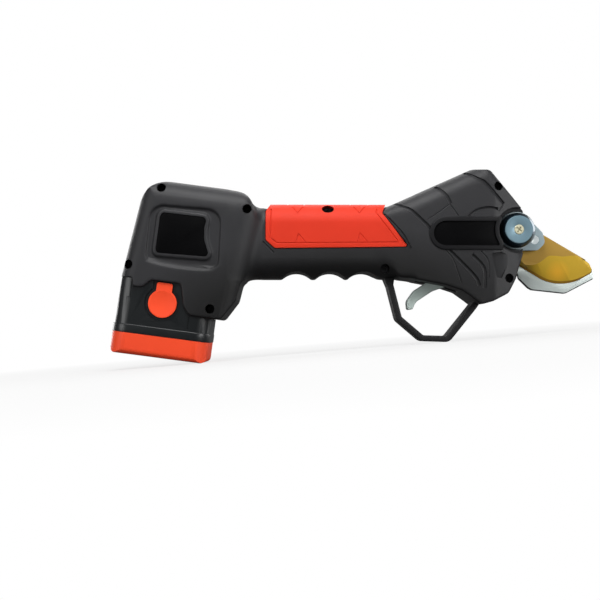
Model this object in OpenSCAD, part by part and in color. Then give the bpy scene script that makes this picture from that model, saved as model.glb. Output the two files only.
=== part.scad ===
// Battery electric pruner: a casing in two halves with a grip in the middle,
// a slide-in battery pack at the rear and a pair of blades at the front.
// The tool axes are X along the grip towards the blades, Y across and Z up.
// The finished part is tipped so that it stands on its battery foot and its trigger guard.

/* [Grip] */
// Length of the grip from the rear housing to the head
grip_l = 115; // [108:0.5:122]
// Height of the grip from its top to its finger ridges
grip_h = 48.4; // [44:0.2:53]
// Width of the grip across both halves
grip_w = 39; // [37:0.5:43]
// Corner radius of the grip's section
grip_r = 13; // [10:0.5:15]
// Distance between finger ridges
finger_pitch = 21.9; // [20:0.1:23]
// Depth of the finger grooves
finger_depth = 4.5; // [3:0.1:6]
// Thickness of the rubber grip inlays
inlay_t = 2.4; // [1.8:0.1:3]

/* [Rear housing] */
// Width of the rear housing across both halves
rear_w = 56; // [53:0.5:60]
// Tilt of the rear housing and the battery pack
pack_tilt = 7.5; // [5:0.5:9]
// Height of the rear housing's top above the battery's foot
rear_top = 113; // [111:0.5:118]
// Casing wall
wall = 3; // [2.2:0.1:3.6]

/* [Battery] */
// Length of the battery foot
pack_l = 62; // [60:0.5:64]
// Width of the battery foot
pack_w = 52; // [50:0.5:53]
// Height of the orange foot
cap_h = 13.5; // [11:0.5:16]
// Rounding of the foot's lower edges
foot_r = 4; // [3:0.5:5]
// Side of the square stem that slides into the housing
stem_w = 45; // [44:0.5:46]
// Height of the top of the stem above the foot
stem_top = 82; // [80:0.5:85]
// Diameter of a battery cell
cell_d = 18.4; // [17:0.1:18.8]
// Length of a battery cell
cell_l = 65; // [60:0.5:67]
// Radius of a latch button
button_r = 8.7; // [7.5:0.1:9.5]
// How far a latch button presses in
button_travel = 2.2; // [1.5:0.1:2.4]

/* [Head] */
// Width of the head at its widest
head_w = 43; // [41:0.5:46]
// Width of the head at the blades
nose_w = 33; // [31:0.5:36]
// Slope of the head's top
head_slope = 24; // [22:0.5:26]

/* [Blades] */
// Thickness of each blade
blade_t = 4; // [3:0.1:4.4]
// Gap between the two blades
blade_gap = 0.3; // [0.2:0.05:0.5]
// Swing of the cutting blade
blade_swing = 42; // [32:1:42]
// Diameter of the pivot bolt
bolt_d = 8; // [6:0.1:9]
// Radius of the pivot cap's flange
cap_r = 12.1; // [11:0.1:12.6]
// Height of the pivot cap over its flange
pivot_cap_h = 8; // [6:0.5:10]
// Diameter of the pin that ties the blade to its carrier
drive_pin_d = 5.8; // [4:0.1:7]

/* [Drive] */
// Diameter of the motor and gearbox
motor_d = 32; // [30:0.2:32.6]
// Length of the motor
motor_l = 28; // [24:0.5:30]
// Slope of the drive axis
drive_slope = 18; // [17:0.5:19]
// Distance of the drive axis from the blade pivot
lever_r = 14; // [13.5:0.1:14.5]
// Travel of the screw nut
nut_travel = 17.3; // [14:0.1:17.5]
// Diameter of the screw nut
nut_d = 11; // [9:0.1:11.4]
// Diameter of the nut's side pins
nut_pin_d = 3.5; // [2.5:0.1:4]
// Diameter of the drive screw
screw_d = 6; // [5:0.1:7]
// Gear module
gear_module = 0.6; // [0.54:0.01:0.62]
// Face width of the planet gears
gear_w = 8; // [6:0.5:9]

/* [Trigger] */
// Width of the trigger across the tool
trigger_w = 9; // [7:0.5:11]
// Swing of the trigger
trigger_swing = 12; // [8:1:13]
// Diameter of the trigger pin
trigger_pin_d = 3; // [2:0.1:4]
// Thickness of the guard strap
guard_t = 4; // [3:0.1:5]
// Width of the guard strap across the tool
guard_w = 17; // [13:0.5:20]

/* [Fits] */
// Gap between a moving piece and what it passes
gap = 0.35; // [0.3:0.05:0.5]
// Radial running fit of a pin in its bore
fit = 0.05; // [0.02:0.01:0.1]
// Radius of a casing screw's head
screw_head_r = 2.8; // [2.4:0.1:3]

/* [Hidden] */
$fn = 48;

// Points are [x, z] in the tool's side view, or [x, z, corner radius] in an outline
function unit(v) = v / norm(v);
function left_of(v) = [-v.y, v.x];
function turn(p, a) = [p.x * cos(a) - p.y * sin(a), p.x * sin(a) + p.y * cos(a)];
function polar(r, a) = [r * cos(a), r * sin(a)];
function flat(p) = [p.x, p.y];

// Centre of the arc of radius r that rounds corner b between a and c
function arc_centre(a, b, c, r) =
    let(u = unit(a - b), v = unit(c - b))
    b + unit(u + v) * r / sin(acos(u * v) / 2);

// Points of that arc, from the side of a to the side of c
arc_steps = 6;
function corner(a, b, c, r) =
    let(u = unit(a - b), v = unit(c - b), half = acos(u * v) / 2)
    let(o = arc_centre(a, b, c, r), from = b + u * r / tan(half) - o)
    let(start = atan2(from.y, from.x), sweep = (180 - 2 * half) * sign(u.y * v.x - u.x * v.y))
    [for (i = [0:arc_steps]) o + polar(r, start + sweep * i / arc_steps)];

// Points of an arc round o, ready for an outline
round_steps = 14;
function arc(o, r, from, to) = [
    for (i = [0:round_steps]) concat(o + polar(r, from + (to - from) * i / round_steps), 0)
];

// Closed outline with its corners rounded
function rounded(pts) =
    let(n = len(pts))
    [for (i = [0:n - 1])
        let(a = flat(pts[(i + n - 1) % n]), b = flat(pts[i]), c = flat(pts[(i + 1) % n]))
        each (pts[i].z > 0 ? corner(a, b, c, pts[i].z) : [b])];

// Open path with its inner corners bent to one radius
function bend(p, r) = [
    p[0],
    for (i = [1:len(p) - 2]) each corner(p[i - 1], p[i], p[i + 1], r),
    p[len(p) - 1]
];

// Outline of a strip of half width h along a path
function miter(p, i, h) =
    let(a = left_of(unit(i > 0 ? p[i] - p[i - 1] : p[1] - p[0])))
    let(b = i < len(p) - 1 ? left_of(unit(p[i + 1] - p[i])) : a, m = (a + b) / 2)
    p[i] + m * h / (m * m);
function strip(p, h) = concat(
    [for (i = [0:len(p) - 1]) miter(p, i, h)],
    [for (i = [len(p) - 1:-1:0]) miter(p, i, -h)]
);

// Side view outline drawn across the tool from y0 to y1
module across(y0, y1) translate([0, y1, 0]) rotate([90, 0, 0]) linear_extrude(y1 - y0) children();
// Section outline [y, z] drawn along the tool from x0 to x1
module along(x0, x1) translate([x0, 0, 0]) rotate([90, 0, 90]) linear_extrude(x1 - x0) children();
// Round bar across the tool at a side view point
module bar(p, y0, y1, r) translate([p.x, y1, p.y]) rotate([90, 0, 0]) cylinder(h = y1 - y0, r = r);
// Box from its low to its high corner
module block(low, high) translate(low) cube(high - low);

// Grip: its top is level, its underside carries the finger ridges
grip_top = 61.8;
grip_bottom = grip_top - grip_h;
grip_rear = -45;
grip_front = grip_rear + grip_l;
first_groove = grip_front - 29;
finger_grooves = 3;
groove_chord = finger_pitch * 0.8;
// The head is drawn for a grip that ends at this x, and moves with the grip's end
head_drawn_at = 70;
fore_x = grip_front - head_drawn_at;
module fore() translate([fore_x, 0, 0]) children();
groove_r = (groove_chord * groove_chord / 4 + finger_depth * finger_depth) / 2 / finger_depth;

// Battery pack: u runs forwards along the foot and v runs up the stem
pack_foot = [-91.5, -37.4];
function pack_point(u, v) = pack_foot
    + [u * cos(pack_tilt) + v * sin(pack_tilt), v * cos(pack_tilt) - u * sin(pack_tilt)];
module in_pack() translate([pack_foot.x, 0, pack_foot.y]) rotate([0, pack_tilt, 0]) children();
stem_u = 1.5;
stem_r = 5;
skirt_v = 29;
dock_v = 44.5;
dock_u = 9.5;
case_wall = 3;
foot_corner_r = 10;
band_h = 5.5;
band_flare = 1;
button = [-0.8, 34.5];
button_tab_w = 10;
button_tab_h = 13;
button_depth = 2.4;
button_slack = 0.4;
button_pocket = button_depth + button_travel + button_slack;
button_spring_r = 3;

// Blade pivot, and the drive axis that passes above it
pivot = [139.3, 44.5];
drive_dir = polar(1, drive_slope);
drive_up = left_of(drive_dir);
drive_foot = pivot + lever_r * drive_up;
module in_drive()
    translate([drive_foot.x, 0, drive_foot.y]) rotate([0, 90 - drive_slope, 0]) children();
module at_pivot() translate([pivot.x, 0, pivot.y]) children();
module drum(s0, s1, r) translate([0, 0, s0]) cylinder(h = s1 - s0, r = r);

// Places along the drive axis, from the blades back to the motor
nut_shut = -3.5;
nut_open = nut_shut - nut_travel;
nut_front = 2.5;
nut_back = 10;
cover_lip = 1.2;
cover_front = nut_open - nut_back - gap - 0.4;
bearing_w = 6;
bearing_r = 9;
bearing_front = cover_front - cover_lip;
bearing_back = bearing_front - bearing_w;
carrier_t = 3.5;
gear_gap = 0.5;
carrier_front = bearing_back - gear_gap;
carrier_back = carrier_front - carrier_t;
planet_front = carrier_back - gear_gap;
planet_back = planet_front - gear_w;
motor_front = planet_back - gear_gap;
motor_back = motor_front - motor_l;
screw_tip = nut_shut + nut_front + 1.5;
seat_fit = 0.1;

// Planetary gears with stub teeth
sun_teeth = 12;
planet_teeth = 18;
ring_teeth = sun_teeth + 2 * planet_teeth;
pressure_angle = 25;
tooth_tip = 0.8 * gear_module;
tooth_root = 1.05 * gear_module;
tooth_slack = 0.14;
flank_steps = 4;
ring_wall = 1;
planet_orbit = gear_module * (sun_teeth + planet_teeth) / 2;
gearbox_r = gear_module * ring_teeth / 2 + tooth_root + ring_wall;
planet_pin_r = 1.6;
shaft_r = 1.8;
function pitch_r(teeth) = gear_module * teeth / 2;
function involute(a) = tan(a) * 180 / PI - a;
// Half angle of a tooth at radius r
function tooth_half(teeth, r, slack) =
    let(a = acos(min(1, pitch_r(teeth) * cos(pressure_angle) / r)))
    90 / teeth - slack / 2 / pitch_r(teeth) * 180 / PI + involute(pressure_angle) - involute(a);
function gear(teeth, inner, outer, slack) = [
    for (k = [0:teeth - 1], side = [-1, 1], i = [0:flank_steps])
        let(t = (side < 0 ? i : flank_steps - i) / flank_steps, r = inner + (outer - inner) * t)
        polar(r, k * 360 / teeth + side * tooth_half(teeth, r, slack))
];
module spur(teeth)
    polygon(gear(teeth, pitch_r(teeth) - tooth_root, pitch_r(teeth) + tooth_tip, tooth_slack));

// Cam slot in the blade carrier: it makes the blade's swing keep step with the nut's travel
slot_steps = 14;
slot_half = nut_pin_d / 2 + fit * 2;
arm_half = slot_half + 2.2;
function slot_point(s) = turn(lever_r * drive_up + s * drive_dir,
    -blade_swing * (nut_shut - s) / nut_travel);
slot_path = [for (i = [0:slot_steps]) slot_point(nut_shut - nut_travel * i / slot_steps)];

// Depths across the tool at the blades, the near side being negative
half_gap = blade_gap / 2;
blade_out = half_gap + blade_t;
nut_clear = nut_d / 2 + 0.7;
carrier_in = -(blade_out + gap);
carrier_out = -max(9.2, nut_clear + 2.6);
flange_in = carrier_out - gap;
flange_t = 1.5;
heel_r = lever_r - nut_d / 2 - 0.4;
disc_r = cap_r + 0.7;
notch_r = disc_r + 0.7;
drive_pin = [152.2, 39];
pin_boss_r = drive_pin_d / 2 + 2.9;

// Trigger and its guard
trigger_pivot = [96.4, 13.2];
guard_path = [[57.9, 9], [63.9, -12.5], [78.6, -25.3], [95.3, -25.8], [112.5, -4.5]];
guard_bend = 7;

// Standing pose: the line under the battery foot and the guard becomes level
foot_centre = pack_point(pack_l / 2 - foot_r, foot_r);
guard_centre = arc_centre(guard_path[2], guard_path[3], guard_path[4], guard_bend) + [fore_x, 0];
guard_outer = guard_bend + guard_t / 2;
stance = guard_centre - foot_centre;
rest_tilt = atan2(stance.y, stance.x) - asin((guard_outer - foot_r) / norm(stance));
function rest_point(p) = turn(p, -rest_tilt);
floor_z = rest_point(foot_centre).y - foot_r;
blade_tip = [193.5 + fore_x, 18];
rear_x = rest_point(pack_point(foot_r - pack_l / 2, foot_r)).x - foot_r;
mid_x = (rear_x + rest_point(blade_tip).x) / 2;
module standing() translate([-mid_x, 0, -floor_z]) rotate([0, rest_tilt, 0]) children();
module ahead() standing() fore() children();

// Casing screws, at the points where they show on the right side
casing_screws = [[-88.8, 70.4], [-35.2, 56.4], [17, 57], [126.2 + fore_x, 72.6]];
skirt_screws = [pack_point(29.5, 35), pack_point(-25.1, 56.5)];
screw_post_r = screw_head_r + 0.9;
screw_shank_r = 1.5;
guard_screw_at = [53.8, 19.6];
hook_screws_at = [[133.5, 13.5], [128.5, 24]];

// Outlines of the casing
rear_u = -30.1;
rear_top_u = -22.3;
rear_lean = atan2(rear_top_u - rear_u, rear_top - dock_v);
rear_front_u = 50;
rear_corner_r = 10;
rear_edge_r = 12;
rear_outline = rounded([
    [rear_u, dock_v, 0], [rear_top_u, rear_top, 20], [43, rear_top, 12], [56, 90, 0], [56, 62, 0],
    [47, 55, 5], [46.5, 43, 4], [38, skirt_v, 2], [dock_u + 5, skirt_v, 5], [dock_u, dock_v, 3]
]);
rear_plan = rounded([
    [rear_u, -rear_w / 2, rear_corner_r], [rear_front_u, -rear_w / 2, rear_edge_r],
    [rear_front_u, rear_w / 2, rear_edge_r], [rear_u, rear_w / 2, rear_corner_r]
]);
rear_section = rounded([
    [-rear_w / 2, 0, 0], [rear_w / 2, 0, 0],
    [rear_w / 2, rear_top, rear_edge_r], [-rear_w / 2, rear_top, rear_edge_r]
]);
function grip_section(inset) = rounded([
    [inset - grip_w / 2, grip_bottom + inset, grip_r - inset],
    [grip_w / 2 - inset, grip_bottom + inset, grip_r - inset],
    [grip_w / 2 - inset, grip_top - inset, grip_r - inset],
    [inset - grip_w / 2, grip_top - inset, grip_r - inset]
]);
head_rear = [52.6, 58.8];
head_top_l = 62.6;
nose_top = head_rear + polar(head_top_l, head_slope);
nose_front = nose_top + [12, -1.2];
chin = [143.1, 56.7];
front_slope = atan2(nose_front.y - chin.y, chin.x - nose_front.x);
head_outline = rounded([
    [48, 54, 0], concat(head_rear, 0), concat(nose_top, 6), concat(nose_front, 6), concat(chin, 1),
    [144.5, 44.5, 0], [143.2, 29.7, 2], [138.2, 13.1, 3], [133.2, 3.9, 5], [122.6, -1.4, 4],
    [115, -3.5, 3], [108.5, -0.8, 3], [95, 8, 10], [70, 13.2, 0], [48, 15, 0]
]);
head_side = rounded([
    [46, 0, 0], [46, grip_w / 2, 0], [58, grip_w / 2, 6], [70, head_w / 2, 8],
    [124, head_w / 2, 6], [140, nose_w / 2, 8], [150, nose_w / 2, 0], [150, 0, 0]
]);
function tunnel(w, r) = rounded([[-w / 2, -90, 0], [w / 2, -90, 0], [w / 2, 0, r], [-w / 2, 0, r]]);
head_edge_r = 11;
front_edge_r = 6;

module rear_form()
    in_pack()
        intersection() {
            across(-rear_w, rear_w) polygon(rear_outline);
            translate([0, 0, dock_v])
                rotate([0, rear_lean, 0])
                    translate([0, 0, -dock_v]) linear_extrude(2 * rear_top) polygon(rear_plan);
            along(-60, 70) polygon(rear_section);
        }

module finger_cuts()
    for (i = [0:finger_grooves - 1])
        bar([first_groove - i * finger_pitch, grip_bottom + finger_depth - groove_r],
            -grip_w, grip_w, groove_r);

module grip_form()
    difference() {
        along(grip_rear, grip_front) polygon(grip_section(0));
        finger_cuts();
    }

module head_form()
    intersection() {
        across(-head_w, head_w) polygon(head_outline);
        translate([0, 0, -20])
            linear_extrude(130)
                union() {
                    polygon(head_side);
                    mirror([0, 1]) polygon(head_side);
                }
        translate([head_rear.x, 0, head_rear.y])
            rotate([0, -head_slope, 0])
                along(-60, 160) polygon(tunnel(head_w, head_edge_r));
        translate([nose_front.x, 0, nose_front.y])
            rotate([0, front_slope, 0])
                along(-160, 120) polygon(tunnel(head_w, front_edge_r));
    }

// One half of the casing's solid form, side being -1 for the right half and 1 for the left
module half_form(side)
    intersection() {
        union() {
            rear_form();
            grip_form();
            fore() head_form();
        }
        translate([0, side * rear_w / 2, 0]) cube([6 * grip_l, rear_w, 6 * grip_l], center = true);
    }

// Spaces inside the casing
bay_top = rear_top - wall - 6;
duct_w = grip_w - 2 * (wall + inlay_t);
duct_low = grip_bottom + finger_depth + wall;
duct_high = grip_top - inlay_t - wall;
trigger_room = rounded([
    [75, 0, 0], [75, 13, 0], [79, 17, 0], [91, 20, 0], [102, 19, 4], [103, 4, 0], [92, -2, 0]
]);
plunger_x = 84;
plunger_h = 0.6;
trigger_lift = (trigger_pivot.x - plunger_x) * sin(trigger_swing);
switch_low = [78, trigger_pivot.y + trigger_lift + plunger_h];
switch_high = [87.5, 21.4];

module stem_hole(extra, v0, v1)
    in_pack()
        translate([stem_u, 0, v0])
            linear_extrude(v1 - v0)
                polygon(rounded([
                    for (c = [[-1, -1], [1, -1], [1, 1], [-1, 1]])
                        concat(c * (stem_w / 2 + extra), stem_r + extra)
                ]));

module arm(extra) {
    polygon(strip([[0, 0], slot_path[slot_steps]], arm_half + extra));
    translate(slot_path[slot_steps]) circle(arm_half + extra);
    polygon(strip([slot_path[0], slot_path[slot_steps / 2], slot_path[slot_steps]], arm_half + extra));
}

module arm_sweep() {
    arm(gap);
    rotate(blade_swing) arm(gap);
    reach = norm(slot_path[slot_steps]) + arm_half + gap;
    lead = atan2(slot_path[slot_steps].y, slot_path[slot_steps].x);
    polygon([[0, 0], for (i = [0:8]) polar(reach, lead + blade_swing * i / 8)]);
}

module duct()
    along(grip_rear - 15, grip_front - 8)
        polygon(rounded([
            [-duct_w / 2, duct_low, 5], [duct_w / 2, duct_low, 5],
            [duct_w / 2, duct_high, 8], [-duct_w / 2, duct_high, 8]
        ]));

module casing_hollow() {
    stem_hole(gap, skirt_v - 10, stem_top + gap);
    in_pack() block([-16, -20, stem_top - 1], [40, 20, bay_top]);
    duct();
    fore() head_hollow();
}
module head_hollow() {
    in_drive() {
        drum(motor_back - 0.5, motor_front, motor_d / 2 + seat_fit);
        drum(motor_front, cover_front, gearbox_r + seat_fit);
        block([-nut_clear, -nut_clear, cover_front - 1], [nut_clear, nut_clear, screw_tip + 1]);
        block(
            [-slot_half, 0, nut_open - slot_half - 1],
            [slot_half, nut_clear + 3, nut_shut + slot_half + 1]
        );
    }
    across(-trigger_w / 2 - gap, trigger_w / 2 + gap) polygon(trigger_room);
    block([switch_low.x - seat_fit, -4 - seat_fit, switch_low.y - 2],
        [switch_high.x + seat_fit, 4 + seat_fit, switch_high.y + seat_fit]);
}

// Space in front for the blades and their carrier
module blade_room() {
    at_pivot() across(carrier_out - gap, 0) arm_sweep();
    bar(pivot, -60, carrier_in + gap, notch_r);
    bar(pivot, -blade_out - gap, blade_out, heel_r + gap);
    across(-blade_out - gap, 0)
        polygon([[131, 44], [139, 54], [175, 62], [175, 2], [142, 10], [134, 34]]);
    across(0, blade_out + seat_fit) offset(delta = seat_fit) polygon(hook_outline);
    bar(pivot, 0, 60, bolt_d / 2 + seat_fit);
    bar(pivot, nut_in, 60, pivot_nut_r + 1.2);
}
pivot_nut_r = 8;
nut_in = blade_out + 5;

module screw_posts(points) for (p = points) bar(p, -30, 30, screw_post_r);
module screw_holes(points)
    for (p = points) {
        bar(p, -60, screw_seat(p) + 3, screw_head_r + seat_fit);
        bar(p, -60, 10, screw_shank_r + seat_fit);
    }
// Depth of a screw head's outer face
function screw_seat(p) = p.x < -45 ? -rear_w / 2 + 4 : p.x < 60 ? -10 : -nose_w / 2 + 4;

module shell(side)
    difference() {
        union() {
            difference() {
                half_form(side);
                casing_hollow();
            }
            intersection() {
                half_form(side);
                screw_posts(all_screws);
            }
        }
        screw_holes(all_screws);
        grip_pocket();
        label_pockets();
        fore() {
            blade_room();
            guard_pocket();
            bar(trigger_pivot, -10, 10, trigger_pin_d / 2 + seat_fit / 4);
        }
        button_arch();
    }
all_screws = concat(casing_screws, skirt_screws);

module right_shell() color([0.21, 0.21, 0.22]) standing() shell(-1);
module left_shell() color([0.21, 0.21, 0.22]) standing() shell(1);

// Rubber inlays: outline in side view
grip_outline = rounded([
    [-21.5, grip_top + 5, 0], [-22.5, 39, 2], [-17, 33.5, 3], [grip_front - 2, 34.8, 3],
    [grip_front - 17, 57, 3], [grip_front - 14.5, grip_top + 5, 0]
]);
module grip_pocket()
    difference() {
        across(-30, 30) polygon(grip_outline);
        along(-60, 90) polygon(grip_section(inlay_t));
    }
module grip_inlay(side)
    intersection() {
        difference() {
            along(grip_rear, grip_front) polygon(grip_section(0));
            along(grip_rear - 1, grip_front + 1) polygon(grip_section(inlay_t));
            screw_holes(all_screws);
        }
        across(min(0, side * 30), max(0, side * 30)) polygon(grip_outline);
    }
module grip_right() color([0.93, 0.28, 0.18]) standing() grip_inlay(-1);
module grip_left() color([0.93, 0.28, 0.18]) standing() grip_inlay(1);

// Black label plates
label_t = 1;
rear_label = rounded([[-10.1, 66.4, 2.5], [22.7, 66.4, 2.5], [18.9, 91, 2.5], [-6.8, 91, 2.5]]);
head_label = rounded([[81, 35, 6.5], [121, 35, 1.5], [121, 48.4, 1.5], [81, 48.4, 6.5]]);
module label_plates(outline, half)
    for (side = [-1, 1])
        across(side * half - (side > 0 ? label_t : 0), side * half + (side > 0 ? 0 : label_t))
            polygon(outline);
module label_pockets() {
    in_pack() label_plates(rear_label, rear_w / 2);
    fore() label_plates(head_label, head_w / 2);
}
module rear_labels() color([0.03, 0.03, 0.03]) standing() in_pack() label_plates(rear_label, rear_w / 2);
module head_labels() color([0.03, 0.03, 0.03]) ahead() label_plates(head_label, head_w / 2);

module screw_at(p, head_y, length, head_r, shank_r) {
    bar(p, head_y, head_y + 2.5, head_r);
    bar(p, head_y + 2.4, head_y + length, shank_r);
}
module housing_screws()
    color([0.1, 0.1, 0.1])
        standing()
            for (p = all_screws)
                screw_at(p, screw_seat(p) + 0.4, 9.5 - screw_seat(p), screw_head_r, screw_shank_r);

// Trigger guard: one bent strap from an eye under the grip to a tongue in the head
guard_eye_r = 3.6;
guard_leg = guard_path[0] - guard_screw_at;
leg_angle = atan2(guard_leg.y, guard_leg.x);
mouth = asin(guard_t / 2 / guard_eye_r);
guard_root = guard_screw_at + polar(guard_eye_r * cos(mouth), leg_angle);
guard_line = concat([guard_root], guard_path, [[116.5, 1.5]]);
guard_strip = strip(bend(guard_line, guard_bend), guard_t / 2);
guard_eye = arc(guard_screw_at, guard_eye_r, leg_angle - mouth, leg_angle + mouth - 360);
guard_outline = concat(guard_strip, [for (i = [1:round_steps - 1]) flat(guard_eye[i])]);
guard_seat_y = -13.4;
module guard_pocket() {
    across(-guard_w / 2 - seat_fit, guard_w / 2 + seat_fit) offset(delta = seat_fit) polygon(guard_outline);
    bar(guard_screw_at, -60, guard_seat_y + 2.6, screw_head_r + seat_fit);
    bar(guard_screw_at, -60, 12, screw_shank_r + seat_fit);
    for (p = hook_screws_at) {
        bar(p, -60, hook_seat_y + 2.6, screw_head_r + seat_fit);
        bar(p, -60, 13, screw_shank_r + seat_fit);
    }
}
module trigger_guard()
    color([0.2, 0.2, 0.21])
        ahead()
            difference() {
                across(-guard_w / 2, guard_w / 2) polygon(guard_outline);
                bar(guard_screw_at, -20, 20, screw_shank_r + seat_fit);
            }
module guard_screw()
    color([0.1, 0.1, 0.1])
        ahead() screw_at(guard_screw_at, guard_seat_y, 25, screw_head_r, screw_shank_r);

// Trigger: a bent finger on a pin in the head, with a torsion spring beside its hub
hub_r = 4.4;
spring_side = trigger_w / 2 - 2.6;
spring_wire = 0.6;
spring_r = trigger_pin_d / 2 + 1;
trigger_outline = rounded([
    [98, 10, 0], [94, 17.2, 0], [86, 13.6, 6], [74, 6, 8], [69, -1, 5], [69.6, -6.6, 1.2],
    [73, -6.2, 1.2], [75.2, -1.5, 6], [86, 5.6, 12], [95, 8.6, 0]
]);
module trigger()
    color([0.67, 0.74, 0.71])
        ahead()
            difference() {
                across(-trigger_w / 2, trigger_w / 2) {
                    polygon(trigger_outline);
                    translate(trigger_pivot) circle(hub_r);
                }
                bar(trigger_pivot, -20, 20, trigger_pin_d / 2 + fit);
                bar(trigger_pivot, spring_side, 20, hub_r + 0.5);
            }
module trigger_pin()
    color([0.6, 0.6, 0.6]) ahead() bar(trigger_pivot, -10, 10, trigger_pin_d / 2);

// Coil of round wire along z, as one unbroken tube
coil_sides = 6;
coil_rings = 10;
module coil(r, wire, turns, height) {
    n = ceil(turns * coil_rings);
    points = [for (i = [0:n], j = [0:coil_sides - 1])
        let(a = 360 * turns * i / n, b = 360 * j / coil_sides, w = r + wire / 2 * cos(b))
        [w * cos(a), w * sin(a), height * i / n + wire / 2 * sin(b)]];
    sides = [for (i = [0:n - 1], j = [0:coil_sides - 1])
        let(k = (j + 1) % coil_sides, a = i * coil_sides, b = a + coil_sides)
        each [[a + j, a + k, b + k], [a + j, b + k, b + j]]];
    ends = [for (j = [1:coil_sides - 2]) each
        [[0, j + 1, j], [n * coil_sides, n * coil_sides + j, n * coil_sides + j + 1]]];
    polyhedron(points, concat(sides, ends));
}
module trigger_spring()
    color([0.75, 0.75, 0.75])
        ahead()
            translate([trigger_pivot.x, spring_side + spring_wire / 2 + 0.05, trigger_pivot.y])
                rotate([-90, 0, 0]) coil(spring_r, spring_wire, 2.5, 1.6);

module trigger_switch()
    color([0.12, 0.12, 0.13])
        ahead() {
            block([switch_low.x, -4, switch_low.y], [switch_high.x, 4, switch_high.y]);
            translate([plunger_x, 0, switch_low.y - plunger_h]) cylinder(h = plunger_h + 0.5, r = 1.5);
        }

// Blades
gold_outline = rounded(concat(arc(pivot, heel_r, 240, 70), [
    [160, 42.2, 4], [190.4, 24.3, 5], [193.1, 18.6, 2.5], [180, 11.2, 28], [163.5, 10.6, 28],
    [143.8, 22.6, 1.5]
]));
hook_outline = rounded(concat(arc(pivot, heel_r, 190, -20), [
    [148.5, 30, 6], [153, 21.5, 5], [170, 14.5, 14], [184, 16, 8], [193.4, 20.9, 0.8], [193.3, 14, 1.5],
    [174.5, 4.2, 4], [152, 6.8, 4], [145, 11, 0], [139, 9, 2], [129, 9, 3], [124, 20, 4], [124, 28, 4]
]));
module cutting_blade()
    color([0.78, 0.6, 0.2])
        ahead()
            difference() {
                across(-blade_out, -half_gap) polygon(gold_outline);
                bar(pivot, -20, 20, bolt_d / 2 + fit);
                bar(drive_pin, -20, 20, drive_pin_d / 2);
            }
module hook_blade()
    color([0.66, 0.69, 0.68])
        ahead()
            difference() {
                across(half_gap, blade_out) polygon(hook_outline);
                bar(pivot, -20, 20, bolt_d / 2 + seat_fit);
                for (p = hook_screws_at) bar(p, -20, 20, screw_shank_r + seat_fit);
            }
hook_seat_y = -nose_w / 2 + 3.5;
module hook_screws()
    color([0.1, 0.1, 0.1])
        ahead()
            for (p = hook_screws_at)
                screw_at(p, hook_seat_y, 12 - hook_seat_y, screw_head_r, screw_shank_r);

// Carrier: a lever that the nut swings through its cam slot, pinned to the cutting blade
plate_in = -nut_clear - 0.2;
pin_reach = drive_pin - pivot;
lobe = rounded([
    [0, -disc_r + 0.4, 0], concat(pin_reach + [1.5, -7], 3), concat(pin_reach + [6, -2.5], 4),
    concat(pin_reach + [4.5, 4.5], 4), [8, 9.5, 0], [0, 0, 0]
]);
module cam_slot() {
    polygon(strip(slot_path, slot_half));
    translate(slot_path[0]) circle(slot_half);
    translate(slot_path[slot_steps]) circle(slot_half);
}
module blade_carrier()
    color([0.6, 0.67, 0.7])
        ahead()
            difference() {
                at_pivot() {
                    across(carrier_out, plate_in) {
                        circle(disc_r);
                        polygon(lobe);
                        arm(0);
                    }
                    across(plate_in - 0.1, carrier_in) {
                        circle(heel_r);
                        translate(pin_reach) circle(pin_boss_r);
                    }
                }
                at_pivot() across(carrier_out - 1, plate_in + 0.05) cam_slot();
                bar(pivot, -40, 20, bolt_d / 2 + fit);
                bar(drive_pin, -40, 20, drive_pin_d / 2);
            }
module drive_pin()
    color([0.86, 0.9, 0.92]) ahead() bar(drive_pin, carrier_out, -half_gap, drive_pin_d / 2);

// Pivot: a bolt through both blades, a turned cap on its near end and a nut on the other
cap_face_r = 8.7;
cap_body_r = cap_r - 0.9;
cap_front = flange_in - flange_t - pivot_cap_h;
cap_screw_r = 3.1;
cap_shank_r = 2;
bolt_end = nut_in + 7.5;
cap_profile = [
    [bolt_d / 2 + seat_fit, 0], [cap_r, 0], [cap_r, flange_t], [cap_body_r, flange_t],
    [cap_body_r, flange_t + pivot_cap_h * 0.55], [cap_face_r, flange_t + pivot_cap_h],
    [cap_screw_r + seat_fit, flange_t + pivot_cap_h],
    [cap_screw_r + seat_fit, flange_t + pivot_cap_h - 2.5],
    [cap_shank_r + seat_fit, flange_t + pivot_cap_h - 2.5],
    [cap_shank_r + seat_fit, flange_t], [bolt_d / 2 + seat_fit, flange_t]
];
module pivot_cap()
    color([0.43, 0.57, 0.63])
        ahead()
            translate([pivot.x, flange_in, pivot.y])
                rotate([90, 0, 0]) rotate_extrude() polygon(cap_profile);
module pivot_screw()
    color([0.87, 0.85, 0.7])
        ahead() screw_at(pivot, cap_front, pivot_cap_h - 0.2, cap_screw_r, cap_shank_r);
module pivot_bolt()
    color([0.55, 0.57, 0.6]) ahead() bar(pivot, flange_in - flange_t + 0.1, bolt_end, bolt_d / 2);
module pivot_nut()
    color([0.5, 0.52, 0.55])
        ahead()
            difference() {
                translate([pivot.x, nut_in + 6.5, pivot.y])
                    rotate([90, 0, 0]) cylinder(h = 6.5, r = pivot_nut_r, $fn = 6);
                bar(pivot, 0, 40, bolt_d / 2 + seat_fit / 4);
            }

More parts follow.
